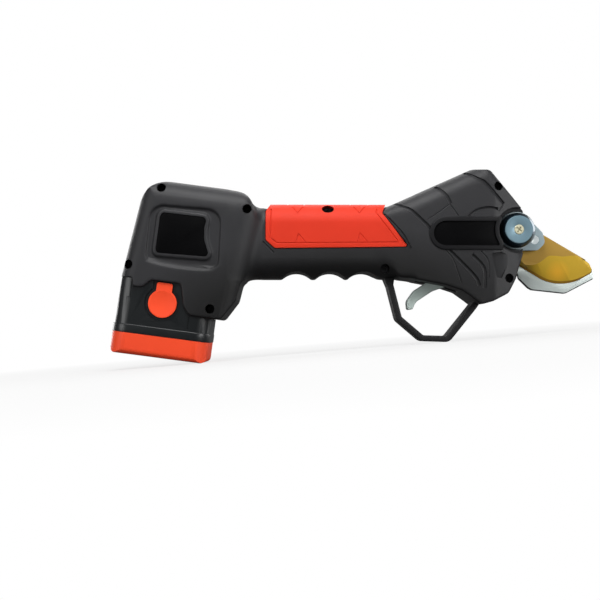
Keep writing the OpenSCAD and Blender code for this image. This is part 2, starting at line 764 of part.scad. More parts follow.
// Screw drive
module ball_nut()
    color([0.7, 0.7, 0.68])
        ahead()
            in_drive()
                difference() {
                    union() {
                        drum(nut_shut - nut_back, nut_shut + nut_front, nut_d / 2);
                        translate([0, nut_clear + 2.4, nut_shut])
                            rotate([90, 0, 0])
                                cylinder(h = nut_clear + 2.4 - carrier_out - 0.3, r = nut_pin_d / 2);
                    }
                    drum(-60, 20, screw_d / 2 + fit);
                }
module ball_screw()
    color([0.75, 0.75, 0.76])
        ahead()
            in_drive() {
                drum(carrier_back, screw_tip, screw_d / 2);
                drum(carrier_front, bearing_back - 0.1, screw_d / 2 + 1.5);
            }
module screw_bearing()
    color([0.72, 0.73, 0.75])
        ahead()
            in_drive()
                difference() {
                    drum(bearing_back, bearing_front, bearing_r);
                    drum(bearing_back - 1, bearing_front + 1, screw_d / 2 + fit);
                }
module gearbox_cover()
    color([0.45, 0.46, 0.48])
        ahead()
            in_drive()
                difference() {
                    drum(bearing_back, cover_front, gearbox_r);
                    drum(bearing_back - 1, bearing_front, bearing_r + seat_fit / 4);
                    drum(bearing_back, cover_front + 1, screw_d / 2 + 1.2);
                }

// Planetary gearbox: the planets mesh with the sun and the ring at rest
module ring_gear()
    color([0.5, 0.5, 0.52])
        ahead()
            in_drive()
                translate([0, 0, motor_front])
                    linear_extrude(bearing_back - motor_front)
                        difference() {
                            circle(gearbox_r);
                            rotate(180 / ring_teeth)
                                polygon(gear(ring_teeth, pitch_r(ring_teeth) - tooth_tip,
                                    pitch_r(ring_teeth) + tooth_root, -tooth_slack));
                        }
module planet_carrier()
    color([0.55, 0.55, 0.57])
        ahead()
            in_drive() {
                difference() {
                    drum(carrier_back, carrier_front, planet_orbit + planet_pin_r + 1.8);
                    drum(carrier_back - 1, carrier_front + 1, screw_d / 2);
                }
                for (k = [0:2])
                    rotate(120 * k)
                        translate([planet_orbit, 0, 0])
                            drum(planet_back + 0.3, carrier_back, planet_pin_r);
            }
module planet(k)
    color([0.68, 0.62, 0.45])
        ahead()
            in_drive()
                rotate(120 * k)
                    translate([planet_orbit, 0, planet_back])
                        difference() {
                            linear_extrude(gear_w)
                                rotate(120 * k * sun_teeth / planet_teeth + 180 + 180 / planet_teeth)
                                    spur(planet_teeth);
                            drum(-1, gear_w + 1, planet_pin_r + fit);
                        }
module planet_gear_1() planet(0);
module planet_gear_2() planet(1);
module planet_gear_3() planet(2);
module sun_gear()
    color([0.7, 0.7, 0.72])
        ahead()
            in_drive()
                translate([0, 0, planet_back])
                    linear_extrude(gear_w)
                        difference() {
                            spur(sun_teeth);
                            circle(shaft_r);
                        }

// Brushless motor
end_plate = 3;
can_wall = 1.2;
motor_bearing_r = 5;
rotor_r = 9.4;
air_gap = 0.5;
stator_slots = 12;
module motor_can()
    color([0.3, 0.31, 0.33])
        ahead()
            in_drive()
                difference() {
                    drum(motor_back, motor_front, motor_d / 2);
                    drum(motor_back + end_plate, motor_front - end_plate, motor_d / 2 - can_wall);
                    drum(motor_back - 1, motor_front + 1, motor_bearing_r + seat_fit / 4);
                }
module motor_stator()
    color([0.6, 0.38, 0.2])
        ahead()
            in_drive()
                translate([0, 0, motor_back + end_plate + 1])
                    linear_extrude(motor_l - 2 * end_plate - 2)
                        difference() {
                            circle(motor_d / 2 - can_wall - seat_fit / 4);
                            circle(rotor_r + air_gap);
                            for (k = [0:stator_slots - 1])
                                rotate(360 * k / stator_slots)
                                    translate([(rotor_r + motor_d / 2 - can_wall) / 2 + 0.3, 0]) circle(1.1);
                        }
module motor_rotor()
    color([0.25, 0.25, 0.28])
        ahead()
            in_drive() {
                drum(motor_back + end_plate + 1, motor_front - end_plate - 1, rotor_r);
                drum(motor_back + 0.3, planet_front, shaft_r);
            }
module motor_bearings()
    color([0.72, 0.73, 0.75])
        ahead()
            in_drive()
                for (s = [motor_back, motor_front - end_plate])
                    difference() {
                        drum(s, s + end_plate, motor_bearing_r);
                        drum(s - 1, s + end_plate + 1, shaft_r + fit);
                    }

// Electronics over the battery socket
bay_half = 20;
terminal_h = 8;
block_low = stem_top + 2 * gap;
block_top = block_low + terminal_h;
blade_rise = block_top - 1.5;
terminal_y = [-10, 0, 10];
terminal_half = [1.2, 3.2];
module control_board()
    color([0.1, 0.3, 0.16])
        standing()
            in_pack() {
                block([-13, seat_fit - bay_half, block_top], [32, bay_half - seat_fit, block_top + 1.6]);
                for (u = [2, 12], y = [-9, 0, 9])
                    translate([u, y, block_top]) cylinder(h = 9, r = 3.4);
                block([20, -12, block_top], [28, 12, block_top + 6]);
            }
module terminal_block()
    color([0.15, 0.15, 0.16])
        standing()
            in_pack()
                difference() {
                    block([-11, seat_fit - bay_half, block_low], [13, bay_half - seat_fit, block_top]);
                    for (y = terminal_y)
                        block([-terminal_half.x - gap, y - terminal_half.y - gap, block_low - 1],
                            [terminal_half.x + gap, y + terminal_half.y + gap, block_top - 1]);
                }

// Battery pack
cap_floor = 3;
function foot_plan(extra) = rounded([
    for (c = [[-1, -1], [1, -1], [1, 1], [-1, 1]])
        [c.x * (pack_l / 2 + extra), c.y * (pack_w / 2 + extra), foot_corner_r + extra]
]);
case_taper = 1.2;
case_top = rounded([
    [-pack_l / 2, cap_h, 0], [40, cap_h, 0], [40, skirt_v - gap, 0],
    [dock_u + 5 - 4 * gap, skirt_v - gap, 2],
    [dock_u - 4 * gap, dock_v - gap, 5], [case_taper - pack_l / 2, dock_v - gap, 0]
]);
module button_outline(extra) {
    translate(button) circle(button_r + extra);
    polygon(rounded([
        [button.x - button_tab_w / 2 - extra, button.y, 0],
        [button.x + button_tab_w / 2 + extra, button.y, 0],
        [button.x + button_tab_w / 2 + extra, button.y + button_tab_h + extra, 1.5],
        [button.x - button_tab_w / 2 - extra, button.y + button_tab_h + extra, 1.5]
    ]));
}
module button_arch() in_pack() across(-60, 60) button_outline(3 * gap);
module battery_case()
    color([0.1, 0.1, 0.12])
        standing()
            difference() {
                union() {
                    in_pack()
                        intersection() {
                            translate([0, 0, cap_h]) linear_extrude(dock_v) polygon(foot_plan(0));
                            across(-60, 60) polygon(case_top);
                        }
                    in_pack()
                        translate([0, 0, cap_h]) linear_extrude(band_h) polygon(foot_plan(band_flare));
                    stem_hole(0, cap_h + 1, stem_top);
                }
                stem_hole(-case_wall, cap_h - 1, stem_top - 2);
                in_pack() {
                    for (side = [-1, 1])
                        across(min(side * (pack_w / 2 - button_pocket), side * 60),
                            max(side * (pack_w / 2 - button_pocket), side * 60))
                            button_outline(gap);
                    for (y = terminal_y)
                        block([-terminal_half.x - seat_fit, y - terminal_half.y - seat_fit, stem_top - 5],
                            [terminal_half.x + seat_fit, y + terminal_half.y + seat_fit, stem_top + 1]);
                }
            }
module battery_cap()
    color([0.94, 0.31, 0.2])
        standing()
            difference() {
                in_pack()
                    intersection() {
                        linear_extrude(cap_h) polygon(foot_plan(0));
                        across(-60, 60)
                            polygon(rounded([[-pack_l / 2, 0, foot_r], [pack_l / 2, 0, foot_r],
                                [pack_l / 2, 90, 0], [-pack_l / 2, 90, 0]]));
                        along(-60, 60)
                            polygon(rounded([[-pack_w / 2, 0, foot_r], [pack_w / 2, 0, foot_r],
                                [pack_w / 2, 90, 0], [-pack_w / 2, 90, 0]]));
                    }
                stem_hole(-case_wall, cap_floor, cap_h + 1);
            }
cell_step = cell_d / 2 + 0.2;
module battery_cells()
    color([0.2, 0.45, 0.75])
        standing()
            in_pack()
                for (a = [-1, 1], b = [-1, 1])
                    translate([stem_u + a * cell_step, b * cell_step, cap_floor])
                        cylinder(h = cell_l, d = cell_d);
board_v = cap_floor + cell_l;
module battery_board()
    color([0.1, 0.3, 0.16])
        standing() in_pack() block([stem_u - 17, -17, board_v], [stem_u + 17, 17, board_v + 1.6]);
module battery_terminals()
    color([0.8, 0.62, 0.3])
        standing()
            in_pack()
                for (y = terminal_y)
                    block([-terminal_half.x, y - terminal_half.y, board_v + 1.6],
                        [terminal_half.x, y + terminal_half.y, blade_rise]);

// Latch buttons on both sides of the pack, each on a coil spring
button_dish = 1;
module latch_button(side)
    color([0.94, 0.31, 0.2])
        standing()
            in_pack()
                difference() {
                    across(min(side * (pack_w / 2 - button_depth), side * pack_w / 2),
                        max(side * (pack_w / 2 - button_depth), side * pack_w / 2))
                        button_outline(0);
                    bar(button, side > 0 ? pack_w / 2 - button_dish : -60,
                        side > 0 ? 60 : button_dish - pack_w / 2, button_r - 1.5);
                }
module latch_button_right() latch_button(-1);
module latch_button_left() latch_button(1);
latch_wire = 0.5;
latch_gap = button_pocket - button_depth;
module latch_spring(side)
    color([0.75, 0.75, 0.75])
        standing()
            in_pack()
                translate([button.x, side * (pack_w / 2 - button_pocket + latch_wire / 2 + 0.02), button.y])
                    rotate([-90 * side, 0, 0])
                        coil(button_spring_r, latch_wire, 3, latch_gap - latch_wire - 0.04);
module latch_spring_right() latch_spring(-1);
module latch_spring_left() latch_spring(1);

right_shell();
left_shell();
grip_right();
grip_left();
rear_labels();
head_labels();
housing_screws();
trigger_guard();
guard_screw();
trigger();
trigger_pin();
trigger_spring();
trigger_switch();
cutting_blade();
hook_blade();
hook_screws();
blade_carrier();
drive_pin();
pivot_bolt();
pivot_cap();
pivot_screw();
pivot_nut();
ball_nut();
ball_screw();
screw_bearing();
gearbox_cover();
ring_gear();
planet_carrier();
planet_gear_1();
planet_gear_2();
planet_gear_3();
sun_gear();
motor_can();
motor_stator();
motor_rotor();
motor_bearings();
control_board();
terminal_block();
battery_case();
battery_cap();
battery_cells();
battery_board();
battery_terminals();
latch_button_right();
latch_button_left();
latch_spring_right();
latch_spring_left();
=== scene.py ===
import math
import bmesh
import bpy
from mathutils import Matrix, Vector
from mathutils.bvhtree import BVHTree


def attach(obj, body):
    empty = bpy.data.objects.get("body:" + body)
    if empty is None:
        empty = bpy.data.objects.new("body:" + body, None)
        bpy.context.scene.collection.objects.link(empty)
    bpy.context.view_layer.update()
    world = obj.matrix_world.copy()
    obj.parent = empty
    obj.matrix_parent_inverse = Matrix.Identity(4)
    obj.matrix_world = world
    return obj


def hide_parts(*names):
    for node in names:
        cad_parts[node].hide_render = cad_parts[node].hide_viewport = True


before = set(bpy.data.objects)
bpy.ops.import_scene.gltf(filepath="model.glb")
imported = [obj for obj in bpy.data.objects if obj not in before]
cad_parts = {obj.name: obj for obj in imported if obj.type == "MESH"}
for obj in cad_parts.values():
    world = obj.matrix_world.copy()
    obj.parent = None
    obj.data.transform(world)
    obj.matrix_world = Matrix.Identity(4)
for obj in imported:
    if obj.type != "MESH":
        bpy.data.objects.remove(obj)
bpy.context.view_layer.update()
scene = bpy.context.scene
print("frame loaded:", len(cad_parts), "solids")

# The tool is drawn in millimetres: x along the grip, y across, z up. It then stands on its foot and guard.
stance = {"tilt": 4.84407, "midX": 35.2384, "floorZ": -35.4043}
toRow = (Matrix.Scale(0.001, 4) @ Matrix.Translation((-stance["midX"], 0, -stance["floorZ"]))
         @ Matrix.Rotation(math.radians(stance["tilt"]), 4, "Y"))
packPlace = Matrix.Translation((-91.5, 0, -37.4)) @ Matrix.Rotation(math.radians(7.5), 4, "Y")
drivePlace = Matrix.Translation((134.974, 0, 57.8148)) @ Matrix.Rotation(math.radians(72), 4, "Y")
pivot = (139.3, 44.5)
drivePin = (152.2, 39)
gap = 0.35                                    # between a moving piece and what it passes
through = 60                                  # cutters run this far out on both sides


# Modelling helpers

def roundCorners(points, steps=6):
    outline = []
    for i, (x, z, radius) in enumerate(points):
        corner = Vector((x, z))
        if radius <= 0:
            outline.append(corner)
            continue
        back = (Vector(points[i - 1][:2]) - corner).normalized()
        ahead = (Vector(points[(i + 1) % len(points)][:2]) - corner).normalized()
        half = back.angle(ahead) / 2
        centre = corner + (back + ahead).normalized() * radius / math.sin(half)
        start = corner + back * radius / math.tan(half) - centre
        sweep = math.pi - 2 * half
        if back.y * ahead.x < back.x * ahead.y:
            sweep = -sweep
        for k in range(steps + 1):
            a = sweep * k / steps
            outline.append(centre + Vector((start.x * math.cos(a) - start.y * math.sin(a),
                                            start.x * math.sin(a) + start.y * math.cos(a))))
    return outline


def arc(centre, radius, start, end, steps=14):
    turns = [math.radians(start + (end - start) * i / steps) for i in range(steps + 1)]
    return [Vector((centre[0] + radius * math.cos(a), centre[1] + radius * math.sin(a))) for a in turns]


def isLeftHanded(outline):
    return sum(a[0] * b[1] - b[0] * a[1] for a, b in zip(outline, outline[1:] + outline[:1])) < 0


def grow(outline, width):                     # moves an outline outwards, or inwards with a negative width
    points = [Vector(p[:2]) for p in outline]
    points = [p for i, p in enumerate(points) if (p - points[i - 1]).length > 1e-5]
    side = -1 if isLeftHanded(points) else 1
    grown = []
    for i, p in enumerate(points):
        before = (p - points[i - 1]).normalized()
        after = (points[(i + 1) % len(points)] - p).normalized()
        normal = Vector((before.y + after.y, -before.x - after.x)).normalized()
        grown.append(p + normal * side * width / max(0.4, normal.dot(Vector((after.y, -after.x)))))
    return grown


def strip(path, half):                        # outline of a band along an open path
    points = [Vector(p[:2]) for p in path]
    left, right = [], []
    for i, p in enumerate(points):
        before = (p - points[i - 1]).normalized() if i else (points[1] - p).normalized()
        after = (points[i + 1] - p).normalized() if i < len(points) - 1 else before
        normal = Vector((-before.y - after.y, before.x + after.x)) / 2
        normal = normal / normal.length_squared
        left.append(p + normal * half)
        right.append(p - normal * half)
    return left + right[::-1]


def smoothPath(points, steps=6):              # a curve through the points
    points = [Vector(p[:2]) for p in points]
    ends = [2 * points[0] - points[1]] + points + [2 * points[-1] - points[-2]]
    curve = []
    for a, b, c, d in zip(ends, ends[1:], ends[2:], ends[3:]):
        for t in [i / steps for i in range(steps)]:
            curve.append((2 * b + (c - a) * t + (2 * a - 5 * b + 4 * c - d) * t * t
                          + (3 * b - a - 3 * c + d) * t ** 3) / 2)
    return curve + [points[-1]]


def prism(outline, low, high, axis="y", bevel=0.0, segments=3):
    bm = bmesh.new()
    spot = {"y": lambda p: (p[0], low, p[1]), "x": lambda p: (low, p[0], p[1]),
            "z": lambda p: (p[0], p[1], low)}[axis]
    way = {"x": Vector((1, 0, 0)), "y": Vector((0, 1, 0)), "z": Vector((0, 0, 1))}[axis]
    face = bm.faces.new([bm.verts.new(spot(p)) for p in outline])
    grown = bmesh.ops.extrude_face_region(bm, geom=[face])["geom"]
    bmesh.ops.translate(bm, verts=[g for g in grown if isinstance(g, bmesh.types.BMVert)], vec=way * (high - low))
    bmesh.ops.remove_doubles(bm, verts=bm.verts, dist=1e-4)
    bmesh.ops.recalc_face_normals(bm, faces=bm.faces)
    if bevel:
        rims = [e for e in bm.edges if len({abs(f.normal.dot(way)) > 0.9 for f in e.link_faces}) == 2]
        bmesh.ops.bevel(bm, geom=rims, offset=bevel, offset_type="OFFSET", segments=segments, profile=0.5,
                        affect="EDGES", material=-1, clamp_overlap=True)
    return bm


def bar(at, low, high, radius, sides=40):     # round bar across the tool
    bm = bmesh.new()
    place = Matrix.Translation((at[0], (low + high) / 2, at[1])) @ Matrix.Rotation(math.radians(90), 4, "X")
    bmesh.ops.create_cone(bm, cap_ends=True, segments=sides, radius1=radius, radius2=radius, depth=high - low,
                          matrix=place)
    return bm


def drum(low, high, radius, sides=64):        # round bar along local z
    bm = bmesh.new()
    bmesh.ops.create_cone(bm, cap_ends=True, segments=sides, radius1=radius, radius2=radius, depth=high - low,
                          matrix=Matrix.Translation((0, 0, (low + high) / 2)))
    return bm


def block(low, high):
    bm = bmesh.new()
    low, high = Vector(low), Vector(high)
    place = Matrix.Translation((low + high) / 2) @ Matrix.Diagonal((*(high - low), 1))
    bmesh.ops.create_cube(bm, size=1, matrix=place)
    return bm


def turned(profile, at, steps=72):            # profile of (radius, y) turned about a line across the tool
    bm = bmesh.new()
    verts = [bm.verts.new((at[0] + r, y, at[1])) for r, y in profile]
    edges = [bm.edges.new(pair) for pair in zip(verts, verts[1:])]
    bmesh.ops.spin(bm, geom=verts + edges, cent=(at[0], 0, at[1]), axis=(0, 1, 0), angle=2 * math.pi, steps=steps,
                   use_merge=True)
    bmesh.ops.remove_doubles(bm, verts=bm.verts, dist=1e-4)
    bmesh.ops.recalc_face_normals(bm, faces=bm.faces)
    return bm


def solid(bm, place=None, name="work"):
    if place is not None:
        bmesh.ops.transform(bm, matrix=place, verts=bm.verts)
    mesh = bpy.data.meshes.new(name)
    bm.to_mesh(mesh)
    bm.free()
    obj = bpy.data.objects.new(name, mesh)
    scene.collection.objects.link(obj)
    return obj


def copyOf(obj):
    twin = bpy.data.objects.new(obj.name, obj.data.copy())
    scene.collection.objects.link(twin)
    return twin


def drop(obj):
    mesh = obj.data
    bpy.data.objects.remove(obj)
    bpy.data.meshes.remove(mesh)


def settle(obj):                              # applies the modifiers
    mesh = bpy.data.meshes.new_from_object(obj.evaluated_get(bpy.context.evaluated_depsgraph_get()))
    old = obj.data
    obj.modifiers.clear()
    obj.data = mesh
    bpy.data.meshes.remove(old)
    return obj


def carve(target, operation, others):
    for other in others:
        step = target.modifiers.new(operation, "BOOLEAN")
        step.operation, step.solver, step.object = operation, "MANIFOLD", other
        other.hide_render = True
    settle(target)
    for other in others:
        drop(other)
    return target


def mirrored(obj):                            # the same shape on the far side of the tool
    twin = copyOf(obj)
    bm = bmesh.new()
    bm.from_mesh(twin.data)
    bmesh.ops.scale(bm, vec=(1, -1, 1), verts=bm.verts)
    bmesh.ops.reverse_faces(bm, faces=bm.faces)
    bm.to_mesh(twin.data)
    bm.free()
    return twin


def bothSides(obj):
    return [obj, mirrored(obj)]


def remesh(obj, voxel):
    step = obj.modifiers.new("even", "REMESH")
    step.mode, step.voxel_size = "VOXEL", voxel
    return settle(obj)


def soften(obj, rounds, zone=None):
    bm = bmesh.new()
    bm.from_mesh(obj.data)
    verts = [v for v in bm.verts if zone is None or zone(v.co)]
    for i in range(rounds):
        bmesh.ops.smooth_vert(bm, verts=verts, factor=0.5, use_axis_x=True, use_axis_y=True, use_axis_z=True)
    bm.to_mesh(obj.data)
    bm.free()
    return obj


def easeEdges(obj, width, angle=40, segments=2):
    step = obj.modifiers.new("edges", "BEVEL")
    step.width, step.segments, step.limit_method = width, segments, "ANGLE"
    step.angle_limit, step.profile = math.radians(angle), 0.5
    return settle(obj)


def wear(obj, materials):
    for material in materials:
        obj.data.materials.append(material)


def finishPiece(obj, name, body, materials, nodes, sharp=32):
    obj.data.transform(toRow)
    obj.name = obj.data.name = name
    obj.hide_render = False
    if materials:
        obj.data.materials.clear()
        wear(obj, materials)
    obj.data.shade_smooth()
    obj.data.set_sharp_from_angle(angle=math.radians(sharp))
    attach(obj, body)
    if nodes:
        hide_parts(*nodes)
    return obj


# Materials

class Wire:
    def __init__(self, tree, socket=None):
        self.tree, self.socket = tree, socket

    def node(self, kind, settings=None, inputs=None, out=0):
        made = self.tree.nodes.new("ShaderNode" + kind)
        for key, value in (settings or {}).items():
            setattr(made, key, value)
        for key, value in (inputs or {}).items():
            if isinstance(value, Wire):
                self.tree.links.new(value.socket, made.inputs[key])
            else:
                made.inputs[key].default_value = value
        return Wire(self.tree, made.outputs[out])

    def calc(self, operation, a, b):
        return self.node("Math", {"operation": operation}, {0: a, 1: b})

    def __add__(self, other):
        return self.calc("ADD", self, other)

    def __radd__(self, other):
        return self.calc("ADD", other, self)

    def __mul__(self, other):
        return self.calc("MULTIPLY", self, other)

    def __rmul__(self, other):
        return self.calc("MULTIPLY", other, self)


def startMaterial(name, constants):
    material = bpy.data.materials.new(name)
    material.use_nodes = True
    tree = material.node_tree
    shader = tree.nodes["Principled BSDF"]
    for key, value in constants.items():
        shader.inputs[key].default_value = value
    return material, Wire(tree), shader


def plug(start, wire, shader, socket):
    start.tree.links.new(wire.socket, shader.inputs[socket])


def objectSpot(start, scale=(1, 1, 1), turn=(0, 0, 0), centre=(0, 0, 0)):
    spot = start.node("TexCoord", out=3)
    return start.node("Mapping", {"vector_type": "TEXTURE"},
                      {"Vector": spot, "Location": centre, "Rotation": turn,
                       "Scale": tuple(1 / s for s in scale)})


def noise(start, spot, scale, detail=2.0, roughness=0.5):
    return start.node("TexNoise", None, {"Vector": spot, "Scale": scale, "Detail": detail, "Roughness": roughness})


def shade(colour, amount):
    return tuple(min(1, c * amount) for c in colour)


def blendColours(start, factor, first, second):
    ends = [end if isinstance(end, Wire) else (*end, 1) for end in (first, second)]
    return start.node("Mix", {"data_type": "RGBA"}, {0: factor, 6: ends[0], 7: ends[1]}, out=2)


def rowSpot(point):                           # a side view point in the standing part's metres
    return toRow @ Vector((point[0], 0, point[1]))


def moulded(name, colour, rough, grain, grainSize, spread=0.16, constants=None, fade=None):
    # moulded plastic or rubber: fine spark-eroded grain, cloudy tone, handled patches that are a little smoother
    material, start, shader = startMaterial(name, constants or {})
    spot = objectSpot(start)
    cloud = noise(start, spot, 55, 4, 0.6)
    speck = noise(start, spot, 1 / grainSize, 2, 0.6)
    mask = cloud * 0.7 + speck * 0.3
    tint = blendColours(start, mask, shade(colour, 1 - spread), shade(colour, 1 + spread))
    if fade:                                  # painted shade: darker base colour low down round the grip and under the head, standing in for the shade there
        shadeSpot = objectSpot(start, (1 / fade["wide"], 0.001, 1 / fade["high"]), centre=rowSpot(fade["at"]))
        away = start.node("VectorMath", {"operation": "LENGTH"}, {0: shadeSpot}, out=1)
        clear = start.node("MapRange", None, {"Value": away, "From Min": fade["inner"], "From Max": fade["outer"]})
        tint = blendColours(start, clear, shade(colour, fade["tone"]), tint)
    plug(start, tint, shader, "Base Color")
    plug(start, speck * 0.16 + cloud * 0.12 + (rough - 0.14), shader, "Roughness")
    bump = start.node("Bump", None, {"Strength": grain, "Distance": 0.0003, "Height": speck})
    plug(start, bump, shader, "Normal")
    return material


def brushed(name, colour, rough, stretch, turn=(0, 0, 0), metallic=1.0, spread=0.12, scale=900, grain=0.06,
            constants=None, glow=None):
    # ground or brushed metal: streaks along one direction, with soft stains
    material, start, shader = startMaterial(name, {"Metallic": metallic, **(constants or {})})
    spot = objectSpot(start, stretch, turn)
    streak = noise(start, spot, scale, 3, 0.65)
    stain = noise(start, objectSpot(start), 70, 3, 0.55)
    mask = streak * 0.6 + stain * 0.4
    tint = blendColours(start, mask, shade(colour, 1 - spread), shade(colour, 1 + spread))
    if glow:                                  # painted highlight: a warm glow round one spot, standing in for a reflection
        spot = objectSpot(start, (1 / glow["size"],) * 3, centre=rowSpot(glow["at"]))
        near = start.node("TexGradient", {"gradient_type": "SPHERICAL"}, {"Vector": spot}, out=1)
        tint = blendColours(start, near * glow["share"], tint, glow["colour"])
    plug(start, tint, shader, "Base Color")
    plug(start, streak * 0.22 + stain * 0.1 + (rough - 0.16), shader, "Roughness")
    bump = start.node("Bump", None, {"Strength": grain, "Distance": 0.0002, "Height": streak})
    plug(start, bump, shader, "Normal")
    return material


def turnedMetal(name, colour, rough, centre, ring=0.00045, constants=None):
    # lathe marks round a line across the tool
    material, start, shader = startMaterial(name, {"Metallic": 1.0, **(constants or {})})
    spot = objectSpot(start, centre=centre)
    rings = start.node("TexWave", {"wave_type": "RINGS", "rings_direction": "Y"},
                       {"Vector": spot, "Scale": 0.31 / ring, "Distortion": 0.6, "Detail": 2.0,
                        "Detail Scale": 3.0}, out=1)
    stain = noise(start, spot, 120, 3)
    mask = rings * 0.5 + stain * 0.5
    plug(start, blendColours(start, mask, shade(colour, 0.85), shade(colour, 1.15)), shader, "Base Color")
    plug(start, rings * 0.12 + stain * 0.14 + (rough - 0.12), shader, "Roughness")
    bump = start.node("Bump", None, {"Strength": 0.08, "Distance": 0.0002, "Height": rings})
    plug(start, bump, shader, "Normal")
    return material


def boardMaterial(name):
    # solder mask with pads and tracks
    material, start, shader = startMaterial(name, {"Coat Weight": 0.3})
    spot = objectSpot(start)
    tracks = start.node("TexBrick", None,
                        {"Vector": spot, "Color1": (0.0, 0.0, 0.0, 1), "Color2": (0.1, 0.1, 0.1, 1),
                         "Mortar": (1, 1, 1, 1), "Scale": 180.0, "Mortar Size": 0.02}, out=1)
    stain = noise(start, spot, 200, 3)
    mask = tracks * 0.5 + stain * 0.3
    plug(start, blendColours(start, mask, (0.008, 0.07, 0.03), (0.05, 0.24, 0.12)), shader, "Base Color")
    plug(start, 0.28 + stain * 0.25, shader, "Roughness")
    return material


pivotRow, pinRow = rowSpot(pivot), rowSpot(drivePin)
bladeTurn = (0, math.radians(30), 0)
dull, sheen, halfMetal = {"Specular IOR Level": 0.2}, {"Specular IOR Level": 0.32}, {"Metallic": 0.3}
# painted shade: the charcoal's colour is darkened in a patch low round the grip and under the head, where shade falls
paintedShadeLow = {"at": (20, -12), "wide": 0.118, "high": 0.047, "inner": 0.72, "outer": 1.2, "tone": 0.12}
# painted highlight on the ground gold: a warm glow standing in for a reflection
paintedHighlight = {"at": (169, 18.5), "size": 0.009, "share": 0.8, "colour": (1.0, 0.50, 0.035)}
charcoal = moulded("charcoalPlastic", (0.017, 0.017, 0.019), 0.52, 0.3, 0.0005, constants=sheen, fade=paintedShadeLow)
rubber = moulded("gripRubber", (0.57, 0.027, 0.008), 0.58, 0.2, 0.0007, 0.1, dull)
plateBlack = moulded("plateBlack", (0.002, 0.002, 0.0023), 0.4, 0.04, 0.0004, 0.3, {"Specular IOR Level": 0.05})
# the head rim is the shell's charcoal painted darker: painted shade round the head plate
rimShadedCharcoal = moulded("rimShadedCharcoal", (0.006, 0.006, 0.007), 0.46, 0.12, 0.0005, constants=dull)
guardPlastic = moulded("guardPlastic", (0.007, 0.007, 0.0076), 0.5, 0.25, 0.0005, constants=sheen)
packPlastic = moulded("packPlastic", (0.0025, 0.004, 0.005), 0.34, 0.08, 0.0006, 0.2, {"Specular IOR Level": 0.55})
capOrange = moulded("capOrange", (0.84, 0.070, 0.022), 0.46, 0.08, 0.0006, 0.07, dull)
switchBlack = moulded("switchBlack", (0.02, 0.02, 0.023), 0.45, 0.1, 0.0005)
cellWrap = moulded("cellWrap", (0.03, 0.14, 0.42), 0.35, 0.05, 0.0008)
triggerMetal = brushed("triggerMetal", (0.58, 0.68, 0.64), 0.45, (1, 1, 12), (0, 0.5, 0), 0.3)
goldFlat = brushed("goldFlat", (0.42, 0.25, 0.040), 0.42, (1, 1, 14), bladeTurn, 0.4, 0.14)
goldGround = brushed("goldGround", (0.60, 0.38, 0.030), 0.34, (14, 1, 1), bladeTurn, 0.4, 0.1, glow=paintedHighlight)
goldEdge = brushed("goldEdge", (0.34, 0.18, 0.018), 0.36, (1, 1, 10), bladeTurn, 0.4)
hookFlat = brushed("hookFlat", (0.56, 0.62, 0.60), 0.4, (1, 1, 12), bladeTurn, 0.35)
hookGround = brushed("hookGround", (0.05, 0.055, 0.055), 0.4, (12, 1, 1), bladeTurn, 0.4)
carrierSteel = brushed("carrierSteel", (0.30, 0.38, 0.41), 0.4, (1, 1, 9), (0, 0.3, 0), 0.35)
capBlue = turnedMetal("capBlue", (0.145, 0.235, 0.285), 0.4, pivotRow, constants={"Metallic": 0.35})
capRim = turnedMetal("capRim", (0.36, 0.42, 0.44), 0.4, pivotRow, constants=halfMetal)
# a darker copy of the cap's blue for its sloping flank: painted shade
capSideShaded = turnedMetal("capSideShaded", (0.05, 0.085, 0.115), 0.3, pivotRow)
pinBright = turnedMetal("pinBright", (0.82, 0.92, 0.94), 0.36, pinRow, 0.0003, halfMetal)
brassScrew = turnedMetal("brassScrew", (0.58, 0.56, 0.40), 0.4, pivotRow, 0.0003, halfMetal)
screwBlack = brushed("screwBlack", (0.025, 0.025, 0.027), 0.42, (1, 1, 1), metallic=0.6)
boltSteel = brushed("boltSteel", (0.45, 0.46, 0.48), 0.3, (1, 20, 1))
gearSteel = brushed("gearSteel", (0.4, 0.4, 0.42), 0.35, (1, 1, 1))
motorCase = brushed("motorCase", (0.16, 0.16, 0.17), 0.38, (12, 1, 1), metallic=0.9)
copperWire = brushed("copperWire", (0.62, 0.27, 0.12), 0.35, (1, 1, 1), spread=0.2)
contactBrass = brushed("contactBrass", (0.62, 0.44, 0.17), 0.3, (1, 1, 8))
springSteel = brushed("springSteel", (0.5, 0.5, 0.52), 0.28, (1, 1, 1))
boardGreen = boardMaterial("boardGreen")
print("materials ready:", len(bpy.data.materials))


# Casing: the form of both halves as one, blended, then cut

